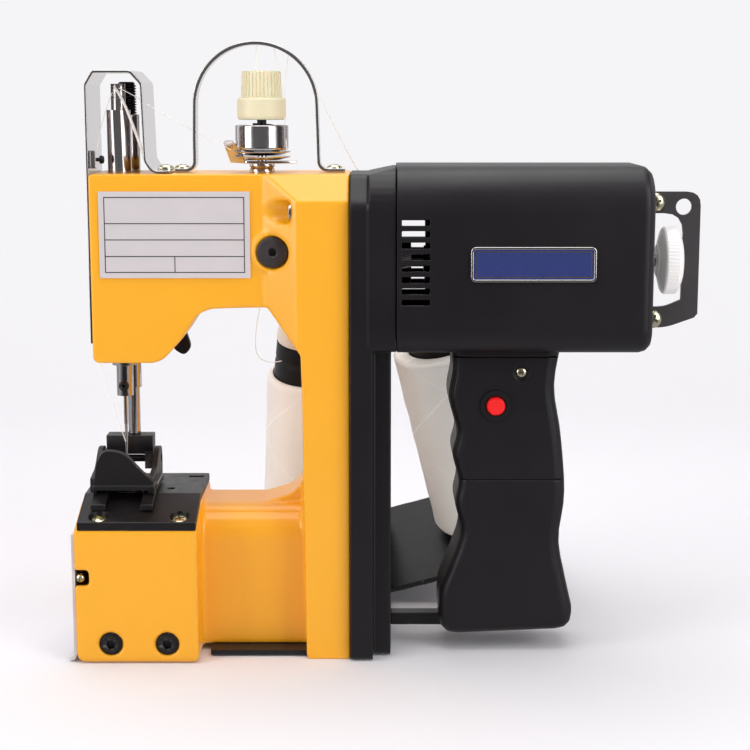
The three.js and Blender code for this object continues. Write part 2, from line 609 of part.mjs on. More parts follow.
piece('presser_adjuster', cut(
  join(rod(5.8, 224.3, 256, 'z', PRESSER_X, PRESSER_Y), rod(4.6, 255, 271, 'z', PRESSER_X, PRESSER_Y)),
  box(-5, 11, PRESSER_Y - 0.7, PRESSER_Y + 0.7, 269, 273),
), blackSteel);
piece('presser_lifter', join(
  rod(3.8, 20, 34, 'y', 19, 156, 16),
  alongY([[15, 156], [19, 161], [24, 156], [29, 141, 3], [25, 137, 2], [20, 140, 2]], 30.5, 34),
), blackSteel);

// ---------------------------------------------------------------- guard, hoop, tension set
const GUARD_LEFT = HEAD_LEFT - 0.9;
piece('needle_bar_guard', alongY(strip([
  [GUARD_LEFT, 150], [GUARD_LEFT, 268], [-6.5, 275.4], [7.5, 275.4], [13.6, 268.5], [13.6, 233],
  [15.2, 229.9], [25.4, 229.9],
], 1.2), -17, 23), brightSteel);
piece('thread_hoop', alongY(strip([
  [26.4, 229.9], [33.2, 229.9], [35.9, 232], [36.4, 259], ...arc(64.4, 260.8, 28, 178, 2, 12),
  [92.6, 259], [93.1, 232], [95.8, 229.9], [106, 229.9],
], 1.2), -5, 5), brightSteel);

const tensionTurned = (profile, sides) => turned(profile, 'z', TENSION_X, 0, sides);
piece('tension_post', tensionTurned([
  [0, 222], [3, 222], [3, ARM_TOP], [6, ARM_TOP], [6, 230.4], [5.4, 231.2], [6, 232], [6, 233], [2.2, 233],
  [2.2, 261], [0, 261],
]), bronze);
piece('tension_guide_plate', cut(
  alongY(strip([[48.2, 243.4], [52.6, 233.9], [83.6, 233.9]], 1.2), -7, 7),
  rod(2.6, 230, 240, 'z', TENSION_X, 0, 16),
  rod(1.6, 44, 60, 'x', 0, 240, 12),
), brightSteel);
piece('tension_disc_lower', tensionTurned([
  [2.7, 234.8], [9, 234.8], [13.6, 236.2], [13.6, 236.7], [9, 235.6], [2.7, 235.6], [2.7, 234.8],
], 20), brightSteel);
piece('tension_disc_upper', tensionTurned([
  [2.7, 236.9], [9, 236.9], [13.6, 238.6], [13.6, 239.1], [9, 237.7], [2.7, 237.7], [2.7, 236.9],
], 20), brightSteel);
piece('tension_cup', tensionTurned([
  [2.7, 238], [8.6, 238], [8.6, 239.3], [12.5, 239.3], [12.5, 251], [11.7, 251], [11.7, 240.1], [2.7, 240.1],
  [2.7, 238],
], 20), brightSteel);
piece('tension_spring', tensionTurned([
  [4.2, 240.4], ...Array.from({ length: 7 }, (_, i) => [i % 2 ? 6.2 : 5.4, 240.8 + i * 1.95]), [4.2, 252.6],
  [4.2, 240.4],
], 12), blackSteel);
piece('tension_nut', ring(2.5, 4.5, 255, 260, 'z', TENSION_X, 0, 12), bronze);
function tensionKnob() {
  const body = tensionTurned([
    [0, 263.4], [0, 276], [9, 276], [9.8, 275.2], [10.3, 263], [11.3, 263], [11.35, 255], [10.8, 254.2],
    [4.9, 254.2], [4.9, 263.4], [0, 263.4],
  ].reverse(), 28);
  const flutes = Array.from({ length: 14 }, (_, i) => {
    const angle = (i * 2 * Math.PI) / 14;
    return rod(0.8, 263.3, 280, 'z', TENSION_X + 10.5 * Math.cos(angle), 10.5 * Math.sin(angle), 6);
  });
  return cut(body, ...flutes);
}
piece('tension_knob', tensionKnob(), ivoryPlastic);

// ---------------------------------------------------------------- hanger
const HANGER_RIGHT = 273.4;
piece('hanger_bracket', cut(
  alongY([
    [248, 220], [HANGER_RIGHT, 220, 6.5], [HANGER_RIGHT, 162.2], [271.8, 160.3], [258.5, 155.6, 4],
    [248, 155.6],
  ], -2, 1),
  alongY([
    [240, 209.9], [265.7, 209.9, 9.5], [265.4, 168.8], [257.8, 165.5, 3], [240, 165.2],
  ], -10, 10),
  rod(3.9, -10, 10, 'y', 265.6, 212.9, 20),
), blackSteel);
for (const [name, z] of [['hanger_screw_top', 215.2], ['hanger_screw_bottom', 159.8]]) {
  piece(name, turned([[0, -5], [2.8, -4.8], [4.3, -3.4], [4.3, -2.1], [0, -2.1]], 'y', 252.1, z, 12), zinc);
}

// ---------------------------------------------------------------- thread cones
// foot: where the core's axis meets the bracket. top: height of the wound thread along the axis.
// rim: radius of the wound thread at its top. seat: inner outline of the thread, from the top down.
const CONE_LEFT = {
  foot: vec(86, 104, 31), up: vec(0, -0.2756, 0.9613).normalize(), top: 94, rim: 22.7, seat: [[19.9, 94]],
};
const CONE_RIGHT = {
  foot: vec(180.4, 103.6, 36), up: vec(-0.2374, -0.2773, 0.931).normalize(), top: 109, rim: 26,
  seat: [[18.4, 109], [19.9, 95]],
};
const PLATE_RIGHT = { foot: CONE_RIGHT.foot, up: vec(-0.2647, -0.277, 0.923).normalize() };

function coneGroup({ foot, up }) {
  const group = new THREE.Group();
  group.position.copy(foot);
  group.quaternion.setFromUnitVectors(vec(0, 0, 1), up);
  machine.add(group);
  return group;
}

function spoolBracket() {
  const place = (geometry, { foot, up }) => {
    const turn = new THREE.Quaternion().setFromUnitVectors(vec(0, 0, 1), up);
    return geometry.applyQuaternion(turn).translate(foot.x, foot.y, foot.z);
  };
  const pin = () => rod(4, -3, CORE_LENGTH - 12, 'z', 0, 0, 16);
  const bracket = join(
    place(alongZ([[-32, -70], [42, -70], [42, 36, 22], [-32, 36, 22]], -4, -1), CONE_LEFT),
    place(box(-26, 18, -77, -60, -4, -1), CONE_LEFT),
    place(pin(), CONE_LEFT),
    place(alongZ([[-70, -46], [32, -46, 10], [32, 38, 22], [-70, 38, 4]], -4, -1), PLATE_RIGHT),
    place(pin(), CONE_RIGHT),
    box(122, 127.5, 72, 122, 5, 34),
    box(60, 104, 28.4, 31.4, 5, 36),
  );
  return cut(bracket, box(40, 240, 20, 160, -20, 2));
}
piece('spool_bracket', spoolBracket(), blackSteel);

for (const [side, place] of [['left', CONE_LEFT], ['right', CONE_RIGHT]]) {
  const group = coneGroup(place);
  piece(`spool_core_${side}`, turned([
    [4.6, 0.4], [24.5, 0.4], [24.5, 1.6], [22.5, 1.6], [19.2, 94], [17.2, CORE_LENGTH - 1],
    [16.4, CORE_LENGTH], [4.6, CORE_LENGTH], [4.6, 0.4],
  ], 'z', 0, 0, 20), blackPlastic, group);
  piece(`thread_cone_${side}`, turned([
    [23, 3], [CONE_R_BOTTOM - 2, 3], [CONE_R_BOTTOM, 6], [place.rim, place.top - 2],
    [place.rim - 1.5, place.top], ...place.seat, [23, 3],
  ], 'z', 0, 0, 24), thread, group);
}

export default machine;
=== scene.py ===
# Bag closer sewing machine: looks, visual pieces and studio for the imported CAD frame. Blender works in
# metres; object sizes and places are written here in millimetres, and mm() turns them into metres.
import json
import math

import bmesh
import bpy
from mathutils import Matrix, Vector


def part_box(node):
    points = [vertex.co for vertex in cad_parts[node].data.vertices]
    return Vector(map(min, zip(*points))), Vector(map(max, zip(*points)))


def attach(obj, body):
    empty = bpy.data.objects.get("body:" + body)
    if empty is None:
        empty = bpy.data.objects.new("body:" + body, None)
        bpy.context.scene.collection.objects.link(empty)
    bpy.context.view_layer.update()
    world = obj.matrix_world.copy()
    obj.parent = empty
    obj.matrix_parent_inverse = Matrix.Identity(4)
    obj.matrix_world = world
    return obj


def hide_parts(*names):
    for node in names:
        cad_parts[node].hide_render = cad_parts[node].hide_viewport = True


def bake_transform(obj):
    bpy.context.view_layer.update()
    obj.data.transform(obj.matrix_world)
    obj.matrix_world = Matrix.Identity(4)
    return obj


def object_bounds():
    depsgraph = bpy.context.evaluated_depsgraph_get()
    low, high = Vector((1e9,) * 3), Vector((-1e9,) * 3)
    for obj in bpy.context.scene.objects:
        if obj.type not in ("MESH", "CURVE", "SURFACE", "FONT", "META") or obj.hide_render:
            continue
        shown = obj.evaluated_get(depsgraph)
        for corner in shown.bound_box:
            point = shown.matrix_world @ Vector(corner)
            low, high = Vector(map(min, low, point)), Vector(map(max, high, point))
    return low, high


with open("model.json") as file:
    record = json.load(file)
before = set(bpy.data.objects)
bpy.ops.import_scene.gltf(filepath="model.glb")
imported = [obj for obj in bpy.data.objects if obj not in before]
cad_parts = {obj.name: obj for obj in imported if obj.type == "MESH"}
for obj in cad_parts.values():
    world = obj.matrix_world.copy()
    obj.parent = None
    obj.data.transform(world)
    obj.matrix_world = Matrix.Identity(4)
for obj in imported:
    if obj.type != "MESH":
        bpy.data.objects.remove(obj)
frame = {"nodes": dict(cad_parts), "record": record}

CAD_BOX = [list(corner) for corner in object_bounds()]
SMOOTH_ANGLE = math.radians(32)
BEVEL_ANGLE = math.radians(28)
UP = Vector((0, 0, 1))
SLOT_OF = {row["node"]: row["material_slot"] for row in frame["record"]["subparts"]}
FRONT, RIGHT, BACK, LEFT = (0, -1, 0), (1, 0, 0), (0, 1, 0), (-1, 0, 0)


def mm(*values):
    scaled = [v * 0.001 for v in values]
    return scaled[0] if len(scaled) == 1 else Vector(scaled)


def box_mm(node):
    low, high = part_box(node)
    return Vector(low) * 1000, Vector(high) * 1000


def middle_mm(node):
    low, high = box_mm(node)
    return (low + high) / 2


def joint(name):
    return next(j for j in frame["record"]["behaviour"]["joints"] if j["name"] == name)


# ---------------------------------------------------------------- material graphs
class Graph:
    """A material under construction: node() adds a node and wires or sets its inputs."""

    def __init__(self, name):
        self.material = bpy.data.materials.new(name)
        self.material.use_nodes = True
        self.tree = self.material.node_tree
        self.tree.nodes.clear()

    def node(self, kind, inputs=None, **settings):
        made = self.tree.nodes.new(kind)
        for key, value in settings.items():
            setattr(made, key, value)
        for key, value in (inputs or {}).items():
            if isinstance(value, bpy.types.NodeSocket):
                self.tree.links.new(value, made.inputs[key])
            else:
                made.inputs[key].default_value = value
        return made

    def math(self, operation, a, b=0.0, clamp=False):
        made = self.node("ShaderNodeMath", {0: a, 1: b}, operation=operation, use_clamp=clamp)
        return made.outputs[0]

    def coords(self):
        return self.node("ShaderNodeTexCoord").outputs["Object"]

    def noise(self, vector, size_mm, detail=3.0, roughness=0.55):
        inputs = {"Vector": vector, "Scale": 1000.0 / size_mm, "Detail": detail, "Roughness": roughness}
        return self.node("ShaderNodeTexNoise", inputs).outputs["Fac"]

    def mix(self, factor, a, b):
        return self.node("ShaderNodeMix", {0: factor, 6: a, 7: b}, data_type="RGBA").outputs[2]

    def ramp(self, value, low, high, to_low=0.0, to_high=1.0):
        inputs = {0: value, 1: low, 2: high, 3: to_low, 4: to_high}
        return self.node("ShaderNodeMapRange", inputs).outputs[0]

    def finish(self, shader):
        self.node("ShaderNodeOutputMaterial", {"Surface": shader})
        return self.material


def shade(color, factor):
    return tuple(min(1.0, c * factor) for c in color[:3]) + (1.0,)


GRAIN_TINT, GRAIN_DARKENING = 0.35, 1.6
WORN_FROM, WORN_TO, WEAR_PATCH_MM = 0.53, 0.62, 2.5  # the first two are Cycles' pointiness
COAT_ROUGHNESS = 0.12


def principled(g, color, roughness, metallic=0.0, mottle=0.05, mottle_mm=18.0, grain=0.2, grain_mm=0.5,
               grain_depth_mm=0.06, stretch=(1, 1, 1), wear=0.0, wear_color=(0.8, 0.8, 0.8), coat=0.0,
               rough_change=0.1, specular=0.5, extra=None):
    """Base look: broad mottle, fine stretched grain with bump, and wear on sharp edges."""
    coords = g.coords()
    stretched = g.node("ShaderNodeVectorMath", {0: coords, 1: stretch}, operation="MULTIPLY").outputs[0]
    broad = g.noise(coords, mottle_mm)
    fine = g.noise(stretched, grain_mm, detail=4.0, roughness=0.6)
    tone = g.mix(broad, shade(color, 1 - mottle), shade(color, 1 + mottle))
    tone = g.mix(g.math("MULTIPLY", fine, GRAIN_TINT), tone, shade(color, 1 - GRAIN_DARKENING * mottle))
    rough = g.math("ADD", g.math("MULTIPLY", g.math("SUBTRACT", broad, 0.5), rough_change), roughness)
    rough = g.math("ADD", g.math("MULTIPLY", g.math("SUBTRACT", fine, 0.5), rough_change), rough, clamp=True)
    if wear > 0:
        edge = g.node("ShaderNodeNewGeometry").outputs["Pointiness"]
        ridge = g.ramp(edge, WORN_FROM, WORN_TO, 0.0, wear)
        patchy = g.math("MULTIPLY", ridge, g.noise(coords, WEAR_PATCH_MM, detail=5.0), clamp=True)
        tone = g.mix(patchy, tone, shade(wear_color, 1.0))
    bump = g.node("ShaderNodeBump", {"Strength": grain, "Distance": mm(grain_depth_mm), "Height": fine})
    inputs = {
        "Base Color": tone, "Roughness": rough, "Metallic": metallic, "Coat Weight": coat,
        "Coat Roughness": COAT_ROUGHNESS, "Specular IOR Level": specular, "Normal": bump.outputs[0],
    }
    inputs.update(extra or {})
    return g.node("ShaderNodeBsdfPrincipled", inputs).outputs[0]


LOOKS = {
    "yellow_paint": dict(color=(0.93, 0.42, 0.014), roughness=0.36, mottle=0.03, mottle_mm=35, grain=0.22,
                         grain_mm=1.3, grain_depth_mm=0.05, coat=0.3, rough_change=0.08, wear=0.3,
                         wear_color=(1.0, 0.66, 0.24)),
    "black_plastic": dict(color=(0.0095, 0.0075, 0.0095), roughness=0.42, mottle=0.15, mottle_mm=25,
                          grain=0.5, grain_mm=0.42, grain_depth_mm=0.06, rough_change=0.14, specular=0.36,
                          wear=0.35, wear_color=(0.07, 0.065, 0.07)),
    "black_steel": dict(color=(0.011, 0.009, 0.0105), roughness=0.4, metallic=0.25, mottle=0.35, mottle_mm=7,
                        grain=0.45, grain_mm=0.8, grain_depth_mm=0.05, rough_change=0.3, wear=0.8,
                        wear_color=(0.3, 0.27, 0.26)),
    "grey_sheet": dict(color=(0.055, 0.049, 0.053), roughness=0.55, metallic=0.2, mottle=0.25, mottle_mm=6,
                       grain=0.5, grain_mm=0.9, grain_depth_mm=0.05, rough_change=0.25, wear=0.5,
                       wear_color=(0.3, 0.27, 0.26)),
    "bright_steel": dict(color=(0.64, 0.61, 0.61), roughness=0.13, metallic=1.0, mottle=0.06, mottle_mm=9,
                         grain=0.12, grain_mm=1.2, grain_depth_mm=0.02, stretch=(1, 1, 12)),
    "dark_steel": dict(color=(0.28, 0.27, 0.28), roughness=0.34, metallic=1.0, mottle=0.15, mottle_mm=8,
                       grain=0.3, grain_mm=0.7, grain_depth_mm=0.04, rough_change=0.2, wear=0.5,
                       wear_color=(0.6, 0.6, 0.62)),
    "blued_steel": dict(color=(0.085, 0.075, 0.078), roughness=0.5, metallic=0.7, mottle=0.25, mottle_mm=2,
                        grain=0.9, grain_mm=0.5, grain_depth_mm=0.1, rough_change=0.2, wear=1.0,
                        wear_color=(0.55, 0.54, 0.54)),
    "bronze": dict(color=(0.44, 0.2, 0.07), roughness=0.3, metallic=1.0, mottle=0.15, mottle_mm=5, grain=0.2,
                   grain_mm=0.7, grain_depth_mm=0.03, rough_change=0.15),
    "gilt": dict(color=(0.75, 0.5, 0.16), roughness=0.3, metallic=1.0, mottle=0.1, mottle_mm=4, grain=0.1,
                 grain_mm=0.5, grain_depth_mm=0.01),
    "copper": dict(color=(0.5, 0.16, 0.06), roughness=0.35, metallic=0.9, mottle=0.2, mottle_mm=4, grain=0.7,
                   grain_mm=0.6, grain_depth_mm=0.15, stretch=(0.15, 1, 1)),
    "ivory_plastic": dict(color=(0.8, 0.73, 0.5), roughness=0.42, mottle=0.03, mottle_mm=10, grain=0.1,
                          grain_mm=0.6, grain_depth_mm=0.03,
                          extra={"Subsurface Weight": 0.25, "Subsurface Scale": 0.003}),
    "cream_plastic": dict(color=(0.93, 0.87, 0.77), roughness=0.4, mottle=0.03, mottle_mm=10, grain=0.1,
                          grain_mm=0.6, grain_depth_mm=0.03,
                          extra={"Subsurface Weight": 0.2, "Subsurface Scale": 0.002}),
    # white plastic: its emission is a painted glow that brightens the hand wheel, which is no lamp
    "white_plastic": dict(color=(0.92, 0.89, 0.885), roughness=0.32, mottle=0.03, mottle_mm=10, grain=0.12,
                          grain_mm=0.6, grain_depth_mm=0.03,
                          extra={"Subsurface Weight": 0.08, "Subsurface Scale": 0.001,
                                 "Emission Color": (1.0, 0.96, 0.95, 1), "Emission Strength": 0.09}),
    "red_plastic": dict(color=(0.93, 0.011, 0.011), roughness=0.3, mottle=0.04, mottle_mm=4, grain=0.12,
                        grain_mm=0.4, grain_depth_mm=0.03, coat=0.4),
    "blue_enamel": dict(color=(0.03, 0.045, 0.17), roughness=0.25, mottle=0.12, mottle_mm=12,
                        grain=0.05, grain_mm=0.8, grain_depth_mm=0.02, coat=0.5, specular=0.3),
    "plated_sheet": dict(color=(0.74, 0.69, 0.7), roughness=0.42, metallic=0.25, mottle=0.03, mottle_mm=14,
                         grain=0.2, grain_mm=0.9, grain_depth_mm=0.02, stretch=(0.06, 1, 1)),
    "rubber": dict(color=(0.012, 0.012, 0.012), roughness=0.7, mottle=0.2, mottle_mm=6, grain=0.4),
    "zinc": dict(color=(0.7, 0.66, 0.47), roughness=0.24, metallic=1.0, mottle=0.12, mottle_mm=2.5,
                 grain=0.25, grain_mm=0.5, grain_depth_mm=0.03, rough_change=0.2),
    "chrome_rim": dict(color=(0.74, 0.72, 0.7), roughness=0.14, metallic=1.0, mottle=0.05, mottle_mm=5,
                       grain=0.05, grain_depth_mm=0.01),
    "ink": dict(color=(0.03, 0.03, 0.035), roughness=0.5, mottle=0.1, mottle_mm=5, grain=0.1),
}


def surface(name):
    g = Graph(name)
    return g.finish(principled(g, **LOOKS[name]))


def stacked(name, lower, upper, height_mm):
    """One look below a height along local Z and another above it."""
    g = Graph(name)
    height = g.node("ShaderNodeSeparateXYZ", {0: g.coords()}).outputs[2]
    above = g.math("GREATER_THAN", height, mm(height_mm))
    shaders = [principled(g, **LOOKS[look]) for look in (lower, upper)]
    return g.finish(g.node("ShaderNodeMixShader", {0: above, 1: shaders[0], 2: shaders[1]}).outputs[0])


def yarn():
    """Cross-wound thread: two fine helices about local Z in crossing bands, with a few stray strands.

    The side that faces the operator has a painted glow: emission that stands in for the light the machine
    keeps off the cones.
    """
    band_mm, strand_mm = 38, 0.8
    thinness, lone_share = 2200.0, 0.65  # of the stray strands
    g = Graph("thread")
    coords = g.coords()
    x, y, z = g.node("ShaderNodeSeparateXYZ", {0: coords}).outputs
    angle = g.math("ARCTAN2", y, x)

    def strands(pitch_mm, turns, shift=0.0):
        phase = g.math("MULTIPLY", g.math("ADD", z, shift), 2 * math.pi * 1000 / pitch_mm)
        phase = g.math("ADD", phase, g.math("MULTIPLY", angle, turns))
        return g.math("ADD", g.math("MULTIPLY", g.math("SINE", phase), 0.5), 0.5)

    def stray(pitch_mm, turns, shift):
        return g.math("POWER", strands(pitch_mm, turns, shift), thinness)

    bands = g.math("ADD", strands(band_mm, 2), g.noise(coords, 14.0))
    crossing = g.ramp(bands, 0.9, 1.1)
    fine = g.node("ShaderNodeMix", {
        0: crossing, 2: strands(strand_mm, 4), 3: strands(strand_mm, -5)}).outputs[0]
    lone = g.math("MAXIMUM", stray(57, 2, 0.008), stray(71, -2, 0.031))
    fuzz = g.noise(coords, 0.5, detail=5.0, roughness=0.75)
    broad = g.noise(coords, 9.0)
    tone = g.mix(broad, (0.73, 0.695, 0.655, 1), (0.82, 0.79, 0.75, 1))
    shadow = g.math("MULTIPLY", g.math("SUBTRACT", 1.0, fine), g.ramp(fuzz, 0.35, 0.65, 0.05, 0.22))
    tone = g.mix(shadow, tone, (0.5, 0.43, 0.36, 1))
    tone = g.mix(g.math("MULTIPLY", lone, lone_share), tone, (0.97, 0.95, 0.92, 1))
    height = g.math("ADD", g.math("MULTIPLY", fine, 0.5), g.math("MULTIPLY", fuzz, 0.6))
    height = g.math("ADD", height, g.math("MULTIPLY", lone, 2.0))
    bump = g.node("ShaderNodeBump", {"Strength": 0.5, "Distance": mm(0.12), "Height": height})
    normal = g.node("ShaderNodeNewGeometry").outputs["Normal"]
    facing = g.node("ShaderNodeSeparateXYZ", {0: normal}).outputs[1]
    # painted light: emission on the side facing the operator (-Y) brightens the thread; it is not a lamp
    painted_front_glow = g.ramp(facing, -0.8, 0.1, 0.42, 0.0)
    shader = g.node("ShaderNodeBsdfPrincipled", {
        "Base Color": tone, "Roughness": 0.85, "Specular IOR Level": 0.2, "Sheen Weight": 0.4,
        "Emission Color": tone, "Emission Strength": painted_front_glow, "Normal": bump.outputs[0],
    })
    return g.finish(shader.outputs[0])


MATERIALS = {name: surface(name) for name in LOOKS}
MATERIALS["thread"] = yarn()


# ---------------------------------------------------------------- mesh helpers
def node_modifier(name, build):
    """A geometry node group with one geometry in and out; build(nodes, links, socket) returns the result."""
    group = bpy.data.node_groups.new(name, "GeometryNodeTree")
    group.interface.new_socket("Geometry", in_out="INPUT", socket_type="NodeSocketGeometry")
    group.interface.new_socket("Geometry", in_out="OUTPUT", socket_type="NodeSocketGeometry")
    source = group.nodes.new("NodeGroupInput")
    sink = group.nodes.new("NodeGroupOutput")
    group.links.new(build(group.nodes, group.links, source.outputs[0]), sink.inputs[0])
    return group


def smooth_by_angle(nodes, links, geometry):
    all_smooth = nodes.new("GeometryNodeSetShadeSmooth")
    angle = nodes.new("GeometryNodeInputMeshEdgeAngle")
    compare = nodes.new("FunctionNodeCompare")
    compare.inputs[1].default_value = SMOOTH_ANGLE
    crease = nodes.new("GeometryNodeSetShadeSmooth")
    crease.domain = "EDGE"
    crease.inputs["Shade Smooth"].default_value = False
    links.new(geometry, all_smooth.inputs["Geometry"])
    links.new(angle.outputs["Unsigned Angle"], compare.inputs[0])
    links.new(all_smooth.outputs[0], crease.inputs["Geometry"])
    links.new(compare.outputs[0], crease.inputs["Selection"])
    return crease.outputs[0]


def join_corners(nodes, links, geometry):
    bare = nodes.new("GeometryNodeRemoveAttribute")
    bare.inputs["Name"].default_value = "custom_normal"
    merge = nodes.new("GeometryNodeMergeByDistance")
    merge.inputs["Distance"].default_value = mm(0.002)
    links.new(geometry, bare.inputs[0])
    links.new(bare.outputs[0], merge.inputs["Geometry"])
    return merge.outputs[0]


SMOOTHING = node_modifier("smooth_by_angle", smooth_by_angle)
JOINING = node_modifier("join_corners", join_corners)


def add_smoothing(obj):
    obj.modifiers.new("shading", "NODES").node_group = SMOOTHING
    weighted = obj.modifiers.new("flats", "WEIGHTED_NORMAL")
    weighted.keep_sharp = True


def add_bevel(obj, width_mm, segments=3):
    bevel = obj.modifiers.new("round", "BEVEL")
    bevel.width = mm(width_mm)
    bevel.segments = segments
    bevel.limit_method = "ANGLE"
    bevel.angle_limit = BEVEL_ANGLE
    bevel.use_clamp_overlap = True


def cast_surface(obj, voxel_mm, steps):
    """Gives a CAD node the soft edges and blended corners of a casting or moulding."""
    obj.modifiers.new("join", "NODES").node_group = JOINING
    grid = obj.modifiers.new("grid", "REMESH")
    grid.mode = "VOXEL"
    grid.voxel_size = mm(voxel_mm)
    grid.use_smooth_shade = True
    soften = obj.modifiers.new("soften", "SMOOTH")
    soften.factor = 0.5
    soften.iterations = steps


def round_edges(obj, width_mm):
    """Joins a CAD node's split corners and rounds its edges."""
    obj.modifiers.new("join", "NODES").node_group = JOINING
    add_bevel(obj, width_mm, segments=2)
    add_smoothing(obj)


def paint(obj, material):
    obj.data.materials.clear()
    obj.data.materials.append(MATERIALS[material])


def new_piece(name, mesh, material, body, replaces=(), place=None, bevel_mm=0.0):
    obj = bpy.data.objects.new(name, mesh)
    bpy.context.scene.collection.objects.link(obj)
    if place is not None:
        obj.matrix_world = place
    paint(obj, material)
    if bevel_mm:
        add_bevel(obj, bevel_mm)
    add_smoothing(obj)
    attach(obj, body)
    if replaces:
        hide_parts(*replaces)
    return obj


def corner_curve(start, corner, end, steps):
    """Points of a quadratic curve that rounds a corner."""
    shares = [i / steps for i in range(steps + 1)]
    return [start.lerp(corner, t).lerp(corner.lerp(end, t), t) for t in shares]


def fillet(profile, radius):
    """Rounds the inner corners of an open (radius, height) profile."""
    out = [Vector(profile[0])]
    for before, here, after in zip(profile, profile[1:], profile[2:]):
        before, here, after = Vector(before), Vector(here), Vector(after)
        reach = min(radius, (before - here).length * 0.45, (after - here).length * 0.45)
        start = here + (before - here).normalized() * reach
        end = here + (after - here).normalized() * reach
        out += corner_curve(start, here, end, 3)
    out.append(Vector(profile[-1]))
    return out


def axis_place(origin, axis):
    """Matrix that stands +Z of a local frame along an axis at an origin given in mm."""
    turn = UP.rotation_difference(Vector(axis)).to_matrix().to_4x4()
    return Matrix.Translation(mm(*origin)) @ turn


def mesh_from(name, bm):
    bmesh.ops.recalc_face_normals(bm, faces=bm.faces)
    mesh = bpy.data.meshes.new(name)
    bm.to_mesh(mesh)
    bm.free()
    return mesh


def turned_mesh(name, profile, sides, change=None, closed=False):
    """Surface of revolution about local Z.

    change(radius, height, angle) may move each ring point; closed joins the profile's end to its start.
    """
    bm = bmesh.new()
    rings = []
    for radius, height in profile:
        if radius < 1e-6:
            rings.append([bm.verts.new(mm(0, 0, height))] * sides)
            continue
        ring = []
        for i in range(sides):
            a = 2 * math.pi * i / sides
            r, h = change(radius, height, a) if change else (radius, height)
            ring.append(bm.verts.new(mm(r * math.cos(a), r * math.sin(a), h)))
        rings.append(ring)
    if closed:
        rings.append(rings[0])
    for low, high in zip(rings, rings[1:]):
        for i in range(sides):
            j = (i + 1) % sides
            corners = list(dict.fromkeys((low[i], low[j], high[j], high[i])))
            if len(corners) > 2:
                bm.faces.new(corners)
    return mesh_from(name, bm)


def turned(name, profile, origin, axis, material, body, *, sides, round_mm, replaces=(), change=None,
           closed=False):
    """A turned piece whose profile's corners are rounded."""
    points = fillet(profile, round_mm) if round_mm else profile
    mesh = turned_mesh(name, points, sides, change, closed)
    return new_piece(name, mesh, material, body, replaces, axis_place(origin, axis))


def prism_mesh(name, outlines, low, high):
    """Prisms over outlines in local X and Y, from low to high along local Z, in mm."""
    bm = bmesh.new()
    for outline in outlines:
        bottom = [bm.verts.new(mm(x, y, low)) for x, y in outline]
        top = [bm.verts.new(mm(x, y, high)) for x, y in outline]
        bm.faces.new(bottom)
        bm.faces.new(top)
        for i in range(len(outline)):
            j = (i + 1) % len(outline)
            bm.faces.new((bottom[i], bottom[j], top[j], top[i]))
    return mesh_from(name, bm)


def frame_mesh(name, outer, inner, low, high):
    """A flat ring between two outlines with the same number of points."""
    bm = bmesh.new()
    loops = [[bm.verts.new(mm(x, y, z)) for x, y in outline]
             for outline, z in ((outer, low), (outer, high), (inner, high), (inner, low))]
    for here, there in zip(loops, loops[1:] + loops[:1]):
        for i in range(len(here)):
            j = (i + 1) % len(here)
            bm.faces.new((here[i], here[j], there[j], there[i]))
    return mesh_from(name, bm)


def rectangle(x0, x1, y0, y1, radius=0.0):
    if radius <= 0:
        return [(x0, y0), (x1, y0), (x1, y1), (x0, y1)]
    steps = 5
    points = []
    for cx, cy, start in ((x1 - radius, y1 - radius, 0), (x0 + radius, y1 - radius, 90),
                          (x0 + radius, y0 + radius, 180), (x1 - radius, y0 + radius, 270)):
        for i in range(steps + 1):
            a = math.radians(start + 90 * i / steps)
            points.append((cx + radius * math.cos(a), cy + radius * math.sin(a)))
    return points


def applied(obj):
    """The object's mesh with its modifiers applied; the object itself is removed."""
    bpy.context.view_layer.update()
    ready = obj.evaluated_get(bpy.context.evaluated_depsgraph_get())
    mesh = bpy.data.meshes.new_from_object(ready)
    mesh.name = obj.name
    bpy.data.objects.remove(obj)
    return mesh


def carve(mesh, *cutters):
    """Subtracts cutter meshes from a mesh and returns the result."""
    body = bpy.data.objects.new(mesh.name, mesh)
    bpy.context.scene.collection.objects.link(body)
    tools = []
    for cutter in cutters:
        tool = bpy.data.objects.new("cutter", cutter)
        bpy.context.scene.collection.objects.link(tool)
        tools.append(tool)
        step = body.modifiers.new("cut", "BOOLEAN")
        step.operation = "DIFFERENCE"
        step.solver = "EXACT"
        step.object = tool
    result = applied(body)
    for tool in tools:
        bpy.data.objects.remove(tool)
    return result


FRONT_TURN = Matrix(((1, 0, 0, 0), (0, 0, -1, 0), (0, 1, 0, 0), (0, 0, 0, 1)))


def front_place(y):
    """Local X, Y, Z become world X, Z, -Y, with local Z = 0 on the plane y (mm)."""
    return Matrix.Translation(mm(0, y, 0)) @ FRONT_TURN


